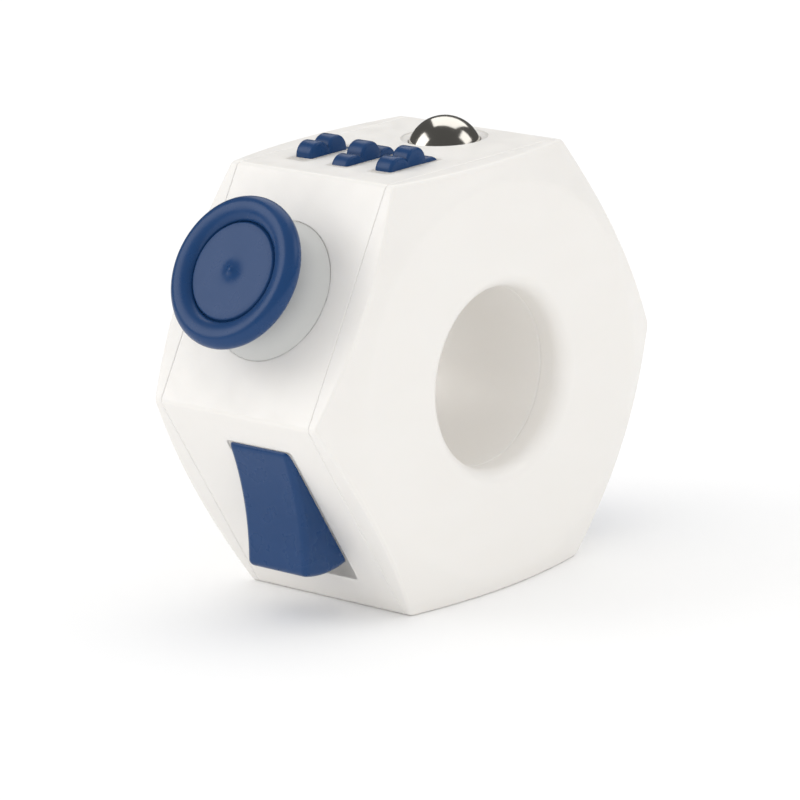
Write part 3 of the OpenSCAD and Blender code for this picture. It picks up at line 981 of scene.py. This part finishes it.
@dataclass
class Gears(Section):
    """The three blue gears in slots in the top face.

    Args:
        centres: the gears' centres in the row frame, front to rear.
        tip_r: radius over the teeth.
        width: thickness of a gear.
        teeth: number of teeth.
        phases: turn of each gear in degrees.
        lobe_r: radius of a tooth's round crest.
        root_drop: depth of the gaps between the teeth.
        edge_r: rounding of a gear's edges.
        side_gap: clearance between a gear's side and its slot.
        tip_gap: clearance between the teeth and the slot's ends.
        corner_r: radius of a slot's corners.
        mouth_r: rounding of a slot's mouth.
    """

    centres: Sequence[Vector]
    tip_r: float
    width: float
    teeth: int = 8
    phases: tuple[float, float, float] = (10.3, 0.4, 18.2)
    lobe_r: float = 1.5 * MM
    root_drop: float = 1.45 * MM
    edge_r: float = 0.35 * MM
    side_gap: float = 0.25 * MM
    tip_gap: float = 0.15 * MM
    corner_r: float = 0.25 * MM
    mouth_r: float = 0.15 * MM

    def cutters(self) -> list[bpy.types.Object]:
        """Makes the shapes that cut the slots, whose ends follow the teeth."""
        found = []
        reach_y = self.width / 2 + self.side_gap - self.corner_r
        for index, centre in enumerate(self.centres):
            middle = self.body.inwards(Side.GEARS, centre)

            def level(z: float) -> Level:
                """Outline of the slot at a height above the face."""
                half = math.sqrt((self.tip_r + self.tip_gap) ** 2 - (z - middle.z) ** 2)
                return Level(z, self.corner_r, half - self.corner_r, reach_y)

            levels = [level(z * MM) for z in (-2.6, -2.2, -1.7, -1.2, -0.7, -0.3)]
            levels += Shaping.mouth(level(0.0), self.mouth_r)
            place = self.body.on(Side.GEARS, middle.x, middle.y)
            found.append(self.shop.raw(f"slot_{index}", Shaping.stack(levels, 24), place))
        return found

    def tooth_radius(self, angle: float) -> float:
        """Radius of the gear's outline at an angle from a tooth's middle."""
        pitch = math.tau / self.teeth
        off = (angle + pitch / 2) % pitch - pitch / 2
        reach = self.tip_r - self.lobe_r
        side = reach * math.sin(off)
        root = self.tip_r - self.root_drop
        if abs(side) >= self.lobe_r:
            return root
        return max(root, reach * math.cos(off) + math.sqrt(self.lobe_r**2 - side**2))

    def gear(self, name: str, centre: Vector, phase: float) -> bpy.types.Object:
        """Makes one gear with rounded edges and its axle hole.

        Args:
            name: the node and body that it stands for.
            centre: its centre in the row frame.
            phase: its turn in degrees.

        Returns:
            The finished gear.
        """
        hole_r, hub_r, dish = 0.85 * MM, 2.3 * MM, 0.12 * MM
        half, e, turn = self.width / 2, self.edge_r, math.radians(phase)

        def ring(toothed: bool, size: float, y: float) -> Loop:
            """Gives a loop: round and of this radius, or along the teeth and inset by this size."""
            if toothed:
                return lambda a: (self.tooth_radius(math.pi / 2 - a - turn) - size, y)
            return lambda a: (size, y)

        side = [
            (False, hole_r, half - e), (False, hole_r + e / 2, half), (False, hub_r, half),
            (False, hub_r + dish, half - dish), *((True, e * s, half - e * c) for s, c in Shaping.quarter(4)),
        ]
        rings = [ring(toothed, size, -y) for toothed, size, y in side]
        rings += [ring(toothed, size, y) for toothed, size, y in reversed(side)]
        angles = [math.tau * k / 240 for k in range(240)]
        bm = Shaping.polar(angles, rings)
        item = self.shop.raw(f"{name}_wheel", bm, Matrix.Translation(centre))
        f = self.shop.finishes
        return self.shop.finish(item, name, "deep_blue", [f.blue], [name], sharp=60.0, weighted=False)

    def build(self) -> None:
        """Makes the three gears."""
        for name, centre, phase in zip(GEAR_NODES, self.centres, self.phases):
            self.gear(name, centre, phase)


@dataclass
class Ball(Section):
    """The polished ball in its chamfered opening in the top face.

    Args:
        centre: the ball's centre in the row frame.
        radius: the ball's radius.
        gap: clearance around the ball.
        throat: depth of the narrowest place of the opening below the face.
        flare: how far the chamfer widens the opening.
    """

    centre: Vector
    radius: float
    gap: float = 0.08 * MM
    throat: float = 0.35 * MM
    flare: float = 0.8 * MM

    def cutter(self) -> bpy.types.Object:
        """Makes the shape that cuts the opening."""
        place = self.body.inwards(Side.GEARS, self.centre)
        seat = self.radius + self.gap
        throat_r = math.sqrt(self.radius**2 - (place.z + self.throat) ** 2) + self.gap
        levels = [Level(-4.0 * MM, seat), Level(place.z, seat)]
        for k in range(1, 5):
            z = place.z + (-self.throat - place.z) * k / 4
            levels.append(Level(z, max(throat_r, math.sqrt(seat**2 - (z - place.z) ** 2))))
        for k in range(1, 7):
            t = math.pi / 2 * k / 6
            levels.append(Level(-self.throat * math.cos(t), throat_r + self.flare * math.sin(t) ** 1.5))
        levels += [Level(z * MM, throat_r + self.flare * 1.12) for z in (0.15, 1.0)]
        bm = Shaping.stack(levels, 96)
        return self.shop.raw("ball_opening", bm, self.body.on(Side.GEARS, place.x, 0.0))

    def build(self) -> bpy.types.Object:
        """Makes the ball."""
        bm = bmesh.new()
        bmesh.ops.create_uvsphere(bm, u_segments=96, v_segments=64, radius=self.radius)
        item = self.shop.raw("steel_ball_polished", bm, Matrix.Translation(self.centre))
        f = self.shop.finishes
        return self.shop.finish(item, "ball", "ball_steel", [f.ball], ["steel_ball"], weighted=False)


@dataclass
class Joystick(Section):
    """The thumb stick: white dome, blue cap with a rolled rim, grained disc and nub.

    Args:
        pivot: the stick's pivot in the row frame.
        dome_r: outer radius of the dome.
        dome_wall: wall of the dome.
        skirt: height of the dome's lower edge above the pivot.
        neck_r: radius of the neck under the cap.
        cap_r: outer radius of the cap.
        cap_top: height of the cap's rim above the pivot.
        rim_r: radius of the cap's rolled rim.
        disc_r: radius of the grained disc.
        stem_r: radius of the stem's bore in the dome and the cap.
        cap_depth: height of the cap.
        gap: clearance around the dome.
        mouth_r: rounding of the opening's mouth.
    """

    pivot: Vector
    dome_r: float = 9.1 * MM
    dome_wall: float = 1.1 * MM
    skirt: float = 1.95 * MM
    neck_r: float = 3.5 * MM
    cap_r: float = 8.5 * MM
    cap_top: float = 12.0 * MM
    rim_r: float = 1.2 * MM
    disc_r: float = 5.47 * MM
    stem_r: float = 1.92 * MM
    cap_depth: float = 2.25 * MM
    gap: float = 0.04 * MM
    mouth_r: float = 0.03 * MM

    def place(self) -> Matrix:
        """The stick's own frame, with z out of the face, in the row frame."""
        local = self.body.inwards(Side.JOYSTICK, self.pivot)
        return self.body.on(Side.JOYSTICK, local.x, local.y, local.z)

    def cutter(self) -> bpy.types.Object:
        """Makes the shape that cuts the round opening."""
        depth = -self.body.inwards(Side.JOYSTICK, self.pivot).z
        seat, below = self.dome_r + self.gap, 3.2 * MM
        levels = []
        for k in range(7):
            z = depth - below + (below - self.mouth_r) * k / 6
            levels.append(Level(z, math.sqrt(seat**2 - z**2)))
        levels += Shaping.mouth(Level(depth, levels[-1].corner), self.mouth_r)[1:]
        return self.shop.raw("stick_opening", Shaping.stack(levels, 128), self.place())

    def dome(self) -> bpy.types.Object:
        """Makes the dome: a spherical shell with a neck."""
        inner = self.dome_r - self.dome_wall
        seat = self.cap_top - self.cap_depth
        low = math.degrees(math.asin(self.skirt / self.dome_r))
        high = math.degrees(math.acos((self.neck_r + 0.6 * MM) / self.dome_r))
        neck_z = self.dome_r * math.sin(math.radians(high))
        outside = Shaping.arc((0, 0), self.dome_r, low, high, 24)
        fillet = [(self.neck_r + 0.25 * MM, neck_z + 0.12 * MM), (self.neck_r, neck_z + 0.4 * MM)]
        inner_low = math.degrees(math.asin((self.skirt + 0.25 * MM) / inner))
        inner_high = math.degrees(math.acos(self.stem_r / inner))
        inside = Shaping.arc((0, 0), inner, inner_high, inner_low, 24)
        profile = [*outside, *fillet, (self.neck_r, seat), (self.stem_r, seat), *inside]
        item = self.shop.raw("joystick_dome_shell", Shaping.lathe(profile, 128, closed=True), self.place())
        f = self.shop.finishes
        return self.shop.finish(item, "joystick", "dome_white", [f.dome], ["joystick_dome"], weighted=False)

    def cap(self) -> bpy.types.Object:
        """Makes the cap and marks its disc for the grained finish."""
        top, crest = self.cap_top, self.cap_r - self.rim_r
        seat, bore = top - self.cap_depth, self.stem_r
        disc_z = top - 0.62 * MM
        groove_z = top - 1.0 * MM
        nub = [
            (r * MM, disc_z + rise * MM) for r, rise in (
                (0.0, 0.55), (0.2, 0.53), (0.36, 0.44), (0.5, 0.34), (0.7, 0.25), (1.0, 0.15),
                (1.4, 0.05), (1.8, 0.01), (2.2, 0.0),
            )
        ]
        flat = [(r * MM, disc_z) for r in (2.6, 3.6, 4.6)]
        shoulder = Shaping.arc((self.disc_r - 0.18 * MM, disc_z - 0.18 * MM), 0.18 * MM, 90, 0, 3)
        foot = self.disc_r + 0.16 * MM
        slope = [
            (crest - (crest - foot) * math.cos(t), groove_z + (top - groove_z) * math.sin(t))
            for t in (math.pi / 2 * k / 12 for k in range(12))
        ]
        rim_centre = (crest, top - self.rim_r)
        outer = Shaping.arc(rim_centre, self.rim_r, 90, -118, 32)
        floor = [(crest - 0.9 * MM, seat), (bore + 0.1 * MM, seat), (bore, seat + 0.1 * MM)]
        core_z = top - 1.25 * MM
        core = [(bore, core_z), (0.0, core_z)]
        wall = [(self.disc_r + 0.05 * MM, groove_z + 0.12 * MM)]
        profile = [*nub, *flat, *shoulder, *wall, *slope, *outer, *floor, *core]
        bm = Shaping.lathe(profile, 144)
        grained_r = self.disc_r - 0.15 * MM
        for face in bm.faces:
            centre = face.calc_center_median()
            if centre.z > disc_z - 0.1 * MM and math.hypot(centre.x, centre.y) < grained_r:
                face.material_index = 1
        item = self.shop.raw("joystick_cap_moulded", bm, self.place())
        f = self.shop.finishes
        return self.shop.finish(
            item, "joystick", "deep_blue", [f.blue, f.grained_blue], ["joystick_cap"], sharp=50.0
        )

    def spring(self, low: float) -> bpy.types.Object:
        """Makes the centring spring between the carrier and the stick's foot.

        Args:
            low: height of the carrier's floor above the pivot.

        Returns:
            The finished spring.
        """
        bm = Shaping.coil(2.3 * MM, 0.25 * MM, low + 0.02 * MM, -3.12 * MM, 3)
        item = self.shop.raw("joystick_spring_coil", bm, self.place())
        f = self.shop.finishes
        return self.shop.finish(
            item, "housing", "spring_steel", [f.wire], ["joystick_spring"], weighted=False
        )


@dataclass
class Rocker(Section):
    """The blue rocker in its window.

    Args:
        pin: the rocker's pin in the row frame.
        tilt: the paddle's turn at rest, in degrees.
        half: half the length of the paddle's front.
        top: height of the front's ends above the pin.
        hollow: depth of the hollow front.
        end_r: radius of the rounded ends.
        end_z: height of the ends' widest place above the pin.
        width: width of the paddle.
        edge_r: rounding of the front's edges.
        window: half the window's length and half its width.
        window_drop: how far the window's middle lies below the pin's.
    """

    pin: Vector
    tilt: float = 21.7
    half: float = 7.1 * MM
    top: float = 7.2 * MM
    hollow: float = 0.75 * MM
    end_r: float = 10.5 * MM
    end_z: float = 2.5 * MM
    width: float = 8.9 * MM
    edge_r: float = 0.8 * MM
    window: tuple[float, float] = (9.36 * MM, 4.65 * MM)
    window_drop: float = 0.14 * MM

    def cutter(self) -> bpy.types.Object:
        """Makes the shape that cuts the window."""
        local = self.body.inwards(Side.ROCKER, self.pin)
        corner, mouth = 0.3 * MM, 0.15 * MM
        base = Level(0.0, corner, self.window[0] - corner, self.window[1] - corner)
        bm = Shaping.stack(Shaping.opening(base, self.shop.CUT_DEPTH, mouth), 24)
        place = self.body.on(Side.ROCKER, local.x - self.window_drop, local.y)
        return self.shop.raw("rocker_window", bm, place)

    def corner(self, end: Ring, front: Ring, front_r: float) -> Ring:
        """Finds the centre of the round corner between an end and the hollow front.

        Args:
            end: centre of the end's arc.
            front: centre of the front's arc.
            front_r: radius of the front's arc.

        Returns:
            The corner's centre, on the side of the end.
        """
        r1, r2 = self.end_r - self.edge_r, front_r + self.edge_r
        gap = Vector(front) - Vector(end)
        along = (gap.length**2 + r1**2 - r2**2) / (2 * gap.length)
        across = math.sqrt(r1**2 - along**2)
        way = gap.normalized()
        centre = Vector(end) + along * way + across * Vector((way.y, -way.x))
        return (centre.x, centre.y)

    def outline(self) -> list[tuple[Vector, Vector]]:
        """Gives the paddle's side outline as points with their outward directions.

        Returns:
            Points in the X-Z plane; below the ends the direction is zero, so they keep their place.
        """
        lean = math.degrees(math.asin((self.top - self.end_z) / self.end_r))
        end = (self.half - self.end_r * math.cos(math.radians(lean)), self.end_z)
        front_r = (self.half**2 + self.hollow**2) / (2 * self.hollow)
        front = (0.0, self.top - self.hollow + front_r)
        corner = self.corner(end, front, front_r)
        foot = -math.degrees(math.asin((self.end_z + 1.6 * MM) / self.end_r))
        turn = math.degrees(math.atan2(corner[1] - end[1], corner[0] - end[0]))
        rise = math.degrees(math.atan2(front[1] - corner[1], front[0] - corner[0]))
        half: list[tuple[Vector, Vector]] = []
        for centre, radius, start, stop, steps in (
            (end, self.end_r, foot, turn, 18), (corner, self.edge_r, turn, rise, 7),
        ):
            half += [(Vector(p), (Vector(p) - Vector(centre)).normalized())
                     for p in Shaping.arc(centre, radius, start, stop, steps)]
        for p in Shaping.arc(front, front_r, rise - 180, -90, 16)[1:]:
            half.append((Vector(p), (Vector(front) - Vector(p)).normalized()))
        other = [(Vector((-p.x, p.y)), Vector((-n.x, n.y))) for p, n in reversed(half[:-1])]
        tip_z, leg = -4.6 * MM, 0.8 * MM
        below = [(-leg, -1.6 * MM), *Shaping.arc((0.0, tip_z), leg, 180, 360, 12), (leg, -1.6 * MM)]
        return [*half, *other, *((Vector(p), Vector((0.0, 0.0))) for p in below)]

    def paddle(self) -> bpy.types.Object:
        """Makes the paddle, with round edges all round its front, and the pin's hole."""
        outline = self.outline()
        half_w = self.width / 2
        loops: list[Callable[[int], Sequence[float]]] = []
        flank = [(self.edge_r * s, half_w - self.edge_r * c) for s, c in Shaping.quarter(7)]
        for inset, y in [*((inset, -y) for inset, y in flank), *reversed(flank)]:

            def place(index: int, inset: float = inset, y: float = y) -> Sequence[float]:
                """Gives the place of one point of this loop."""
                point = outline[index][0] - inset * outline[index][1]
                return (point.x, y, point.y)

            loops.append(place)
        bm = Shaping.loft(len(outline), loops, ring=False)
        local = self.body.inwards(Side.ROCKER, self.pin)
        place = self.body.on(Side.ROCKER, local.x, local.y, local.z)
        place = place @ Matrix.Rotation(math.radians(self.tilt), 4, "Y")
        item = self.shop.raw("rocker_paddle_moulded", bm, place)
        pin_r = 1.05 * MM
        hole = Shaping.stack([Level(-self.width, pin_r), Level(self.width, pin_r)], 48)
        tool = self.shop.raw("pin_hole", hole, place @ Matrix.Rotation(-math.pi / 2, 4, "X"))
        self.shop.cut(item, [tool])
        f = self.shop.finishes
        return self.shop.finish(item, "rocker", "deep_blue", [f.blue], ["rocker_paddle"], sharp=40.0)


@dataclass
class Buttons(Section):
    """The row of three push buttons with their springs.

    Args:
        radius: radius of a button.
        rise: height of a button above the face.
        pitch: distance between buttons.
        flange_top: height of the retaining flange's upper side.
        flange: thickness of the flange.
        floor: height of the carrier under the springs.
        gap: clearance around a button.
    """

    radius: float = 2.6 * MM
    rise: float = 1.6 * MM
    pitch: float = 7.0 * MM
    flange_top: float = -2.2 * MM
    flange: float = 0.9 * MM
    floor: float = -6.6 * MM
    gap: float = 0.2 * MM

    def cutters(self) -> list[bpy.types.Object]:
        """Makes the shapes that cut the three holes."""
        return [
            self.shop.round_hole(f"button_hole_{i}", self.radius + self.gap, 0.25 * MM, 64,
                                 self.body.on(Side.BUTTONS, 0.0, (i - 1) * self.pitch))
            for i in range(3)
        ]

    def build(self) -> None:
        """Makes the buttons and their springs."""
        f = self.shop.finishes
        soft = 0.55 * MM
        stem_r, stem_end = 1.2 * MM, self.floor - 1.6 * MM
        flange_r, low = self.radius + 0.6 * MM, self.flange_top - self.flange
        dish_z = self.rise - 0.18 * MM
        profile = [
            (0.0, dish_z), (0.6 * MM, dish_z + 0.01 * MM), (1.2 * MM, dish_z + 0.06 * MM),
            (self.radius - soft - 0.15 * MM, self.rise - 0.02 * MM),
            *Shaping.arc((self.radius - soft, self.rise - soft), soft, 90, 0, 8),
            (self.radius, self.flange_top), *Shaping.flange(flange_r, self.flange_top, low),
            (stem_r, low), (stem_r, stem_end + 0.15 * MM), (stem_r - 0.15 * MM, stem_end), (0.0, stem_end),
        ]
        for i, name in enumerate(BUTTON_NODES):
            place = self.body.on(Side.BUTTONS, 0.0, (i - 1) * self.pitch)
            item = self.shop.raw(f"{name}_moulded", Shaping.lathe(profile, 72), place)
            self.shop.finish(item, name, "deep_blue", [f.blue], [name], weighted=False)
            coil = Shaping.coil(1.9 * MM, 0.22 * MM, self.floor + 0.02 * MM, low - 0.02 * MM, 4)
            node = name.replace("button", "button_spring")
            item = self.shop.raw(f"{node}_coil", coil, place)
            self.shop.finish(item, "housing", "spring_steel", [f.wire], [node], weighted=False)


@dataclass
class Dial(Section):
    """The spinning dial with a gripped rim and a finger dimple.

    Args:
        radius: radius of the dial.
        rise: height of the dial above the face.
        flange_top: height of the retaining flange's upper side.
        flange: thickness of the flange.
        grips: number of grip notches in the rim.
        grip_depth: depth of a notch.
        gap: clearance around the dial.
    """

    radius: float = 7.6 * MM
    rise: float = 0.9 * MM
    flange_top: float = -2.2 * MM
    flange: float = 0.9 * MM
    grips: int = 24
    grip_depth: float = 0.2 * MM
    gap: float = 0.2 * MM

    def cutter(self) -> bpy.types.Object:
        """Makes the shape that cuts the round opening."""
        place = self.body.on(Side.DIAL)
        return self.shop.round_hole("dial_hole", self.radius + self.gap, 0.3 * MM, 128, place)

    def build(self) -> bpy.types.Object:
        """Makes the dial: turned, notched round its rim and dimpled."""
        soft = 0.4 * MM
        flange_r, low = self.radius + 0.9 * MM, self.flange_top - self.flange
        bore, core_z = 1.52 * MM, -1.0 * MM
        profile = [
            (0.0, self.rise), (self.radius * 0.4, self.rise), (self.radius - soft - 0.7 * MM, self.rise),
            *Shaping.arc((self.radius - soft, self.rise - soft), soft, 90, 0, 6),
            (self.radius, 0.1 * MM), (self.radius, self.flange_top),
            *Shaping.flange(flange_r, self.flange_top, low), (bore, low), (bore, core_z), (0.0, core_z),
        ]
        bm = Shaping.lathe(profile, 240)
        for v in bm.verts:
            reach = math.hypot(v.co.x, v.co.y)
            if v.co.z > 0.05 * MM and self.radius - soft * 1.01 < reach:
                angle = math.atan2(v.co.y, v.co.x)
                notch = self.grip_depth * (0.5 + 0.5 * math.cos(self.grips * angle)) ** 3
                v.co.x *= 1 - notch / reach
                v.co.y *= 1 - notch / reach
        item = self.shop.raw("spin_dial_moulded", bm, self.body.on(Side.DIAL))
        dimple = bmesh.new()
        bmesh.ops.create_uvsphere(dimple, u_segments=96, v_segments=64, radius=3.2 * MM)
        place = self.body.on(Side.DIAL, self.radius * 0.52, 0.0, self.rise + 2.2 * MM)
        tool = self.shop.raw("dimple", dimple, place)
        self.shop.cut(item, [tool])
        f = self.shop.finishes
        return self.shop.finish(item, "dial", "deep_blue", [f.blue], ["spin_dial"], sharp=35.0)


@dataclass
class ThumbDish(Section):
    """The smooth thumb dish let into the bottom face.

    Args:
        radius: radius of the dish's plug.
        depth: depth of the dish at its middle.
        sink: how far its rim lies below the face.
        wall: wall of the band, under which its flange sits.
        flange: thickness of the flange.
        gap: clearance around the plug.
    """

    radius: float = 8.9 * MM
    depth: float = 0.9 * MM
    sink: float = 0.15 * MM
    wall: float = 2.02 * MM
    flange: float = 1.2 * MM
    gap: float = 0.02 * MM

    def cutter(self) -> bpy.types.Object:
        """Makes the shape that cuts the round opening."""
        place = self.body.on(Side.DISH)
        return self.shop.round_hole("dish_hole", self.radius + self.gap, 0.2 * MM, 128, place)

    def build(self) -> bpy.types.Object:
        """Makes the dish."""
        bowl_r = self.radius - 0.5 * MM
        sphere_r = (bowl_r**2 + self.depth**2) / (2 * self.depth)
        span = math.degrees(math.asin(bowl_r / sphere_r))
        bowl = Shaping.arc((0.0, sphere_r - self.depth - self.sink), sphere_r, -90, -90 + span, 24)
        low, flange_r = -self.wall - self.flange, self.radius + 0.8 * MM
        profile = [
            *bowl, (bowl_r + 0.15 * MM, -self.sink + 0.01 * MM), (self.radius - 0.15 * MM, -self.sink),
            (self.radius, -self.sink - 0.15 * MM), (self.radius, -self.wall), (flange_r, -self.wall),
            (flange_r, low + 0.1 * MM), (self.radius + 0.7 * MM, low), (0.0, low),
        ]
        item = self.shop.raw("thumb_dish_moulded", Shaping.lathe(profile, 128), self.body.on(Side.DISH))
        f = self.shop.finishes
        return self.shop.finish(
            item, "housing", "deep_blue", [f.blue], ["thumb_dish"], sharp=40.0, weighted=False
        )


@dataclass
class InnerWorks:
    """The pieces inside the casing, which keep the frame's own shapes.

    Args:
        shop: makes the finished pieces.
        nodes: the frame's nodes by name.
        softening: width of their broken edges.
    """

    shop: Workshop
    nodes: dict[str, bpy.types.Object]
    softening: float = 0.12 * MM

    def build(self) -> None:
        """Dresses every inner node in its finish."""
        f = self.shop.finishes
        plastic = (
            "gear_carrier", "ball_cup", "joystick_stem", "gimbal_ring", "joystick_carrier",
            "rocker_carrier", "button_carrier", "dial_carrier",
        )
        pins = ("gear_axle", "rocker_pin", "dial_spindle")
        sprung = ("rocker_leaf", "dial_clip")
        for names, material, width in (
            (plastic, f.inner, self.softening), (pins, f.pin, self.softening), (sprung, f.wire, 0.05 * MM),
        ):
            for name in names:
                self.shop.dress_node(self.nodes[name], material, width)


# Studio


@dataclass
class Studio:
    """Pale floor, soft lights and the camera.

    Args:
        floor_finish: the floor's material.
        dusk_finish: the finish of the dark room round the toy.
        screen_finish: the finish of the screens behind and on the right.
        bright_finish: the finish of the brighter screen on the left.
        azimuth: the camera's turn round the toy in degrees, 0 being straight in front.
        elevation: its height above the level, in degrees.
        roll: its tilt about its own line of sight, in degrees.
        distance: from the point it looks at.
        target: the point it looks at.
        lens: focal length in millimetres on a sensor 36 mm wide.
    """

    floor_finish: bpy.types.Material
    dusk_finish: bpy.types.Material
    screen_finish: bpy.types.Material
    bright_finish: bpy.types.Material
    azimuth: float = -47.14
    elevation: float = 15.06
    roll: float = -2.43
    distance: float = 565.55 * MM
    target: tuple[float, float, float] = (-1.289 * MM, 0.0, -4.168 * MM)
    lens: float = 231.54

    def camera(self) -> None:
        """Places the scene's camera."""
        az, el, roll = (math.radians(a) for a in (self.azimuth, self.elevation, self.roll))
        back = Vector((math.sin(az) * math.cos(el), -math.cos(az) * math.cos(el), math.sin(el)))
        right = Vector((math.cos(az), math.sin(az), 0.0))
        up = back.cross(right)
        leaned = (math.cos(roll) * right + math.sin(roll) * up, -math.sin(roll) * right + math.cos(roll) * up)
        place = Matrix((leaned[0], leaned[1], back)).transposed().to_4x4()
        place.translation = Vector(self.target) + back * self.distance
        data = bpy.data.cameras.new("camera")
        data.lens = self.lens
        data.sensor_width = 36.0
        data.clip_start = 0.01
        item = bpy.data.objects.new("camera", data)
        item.matrix_world = place
        bpy.context.scene.collection.objects.link(item)
        bpy.context.scene.camera = item

    def floor(self) -> None:
        """Lays the floor that the toy stands on."""
        bm = bmesh.new()
        bmesh.ops.create_grid(bm, x_segments=8, y_segments=8, size=1.5)
        bmesh.ops.translate(bm, vec=(0.0, 0.0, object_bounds()[0][2]), verts=bm.verts)
        item = Workshop.raw("studio_floor", bm, Matrix.Identity(4))
        item.data.materials.append(self.floor_finish)
        item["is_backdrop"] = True

    def reflected(self, name: str, bm: bmesh.types.BMesh, place: Matrix, finish: bpy.types.Material) -> None:
        """Adds a surface of the studio that only reflections show."""
        item = Workshop.raw(name, bm, place)
        item.data.materials.append(finish)
        item.visible_camera = item.visible_diffuse = item.visible_shadow = False
        item.visible_transmission = item.visible_volume_scatter = False
        item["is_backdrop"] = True

    def surroundings(self) -> None:
        """Hangs the dark room round the toy and its bright screens."""
        room = bmesh.new()
        bmesh.ops.create_uvsphere(room, u_segments=32, v_segments=16, radius=2.4)
        self.reflected("studio_room", room, Matrix.Identity(4), self.dusk_finish)
        for name, stand, size, finish in (
            ("studio_back_screen", (0.68, 0.40, 1.02), (1.2, 1.2), self.screen_finish),
            ("studio_left_screen", (-0.84, 0.91, 0.70), (0.9, 0.8), self.bright_finish),
            ("studio_right_screen", (0.83, -0.89, 0.86), (0.8, 0.7), self.screen_finish),
        ):
            screen = bmesh.new()
            bmesh.ops.create_grid(screen, x_segments=1, y_segments=1, size=0.5)
            bmesh.ops.scale(screen, vec=(*size, 1.0), verts=screen.verts)
            turn = (-Vector(stand)).to_track_quat("Z", "Y").to_matrix().to_4x4()
            self.reflected(name, screen, Matrix.Translation(stand) @ turn, finish)

    def light(self, name: str, place: Sequence[float], size: float, power: float, colour: Colour) -> None:
        """Adds a soft square light that points at the toy.

        Args:
            name: the light's name.
            place: where it stands.
            size: its side.
            power: its strength in watts.
            colour: its colour.
        """
        data = bpy.data.lights.new(name, "AREA")
        data.size = size
        data.energy = power
        data.color = colour
        item = bpy.data.objects.new(name, data)
        item.location = place
        item.rotation_euler = (-Vector(place)).to_track_quat("-Z", "Y").to_euler()
        bpy.context.scene.collection.objects.link(item)

    def build(self) -> None:
        """Sets up the whole studio."""
        self.camera()
        self.floor()
        self.light("key", (-0.89, 0.96, 0.80), 0.9, 3.3, (1.0, 0.99, 0.98))
        self.light("fill", (0.86, -0.98, 0.92), 0.9, 0.9, (1.0, 1.0, 1.0))
        self.surroundings()
        world = bpy.data.worlds.new("studio")
        world.use_nodes = True
        background = world.node_tree.nodes["Background"]
        background.inputs["Color"].default_value = (1.0, 1.0, 1.0, 1.0)
        background.inputs["Strength"].default_value = 1.0
        bpy.context.scene.world = world
        bpy.context.scene.view_settings.view_transform = "Standard"


# Assembly


def joint_place(frame: dict, name: str) -> Vector:
    """Gives a joint's place at rest in the row frame."""
    return Vector(next(j["pos_m"] for j in frame["joints"] if j["name"] == name))


def main() -> None:
    """Builds the toy's looks around its frame, piece by piece."""
    logging.basicConfig(level=logging.INFO, format="%(name)s %(message)s")
    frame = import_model()
    body = Body.measured(frame["record"])
    finishes = Finishes()
    shop = Workshop(finishes)
    gear_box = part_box("gear_front")
    gears = Gears(
        body, shop, [joint_place(frame, f"{node}_spin") for node in GEAR_NODES],
        tip_r=5.1 * MM, width=gear_box[1].y - gear_box[0].y,
    )
    ball_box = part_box("steel_ball")
    ball = Ball(body, shop, (ball_box[0] + ball_box[1]) / 2, (ball_box[1].x - ball_box[0].x) / 2)
    joystick = Joystick(body, shop, joint_place(frame, "joystick_tilt"))
    rocker = Rocker(body, shop, joint_place(frame, "rocker_tilt"))
    buttons = Buttons(body, shop)
    dial = Dial(body, shop)
    dish = ThumbDish(body, shop)
    casing = Casing(body, shop)
    casing.cover("front_cover_moulded", "front_cover", -1)
    casing.cover("rear_cover_moulded", "rear_cover", 1)
    casing.sleeve()
    casing.band([
        *gears.cutters(), ball.cutter(), joystick.cutter(), rocker.cutter(), *buttons.cutters(),
        dial.cutter(), dish.cutter(),
    ])
    gears.build()
    ball.build()
    joystick.dome()
    joystick.cap()
    joystick.spring(-5.6 * MM)
    rocker.paddle()
    buttons.build()
    dial.build()
    dish.build()
    InnerWorks(shop, frame["nodes"]).build()
    Studio(finishes.paper, finishes.dusk, finishes.screen, finishes.bright_screen).build()


if __name__ == "__main__":
    main()
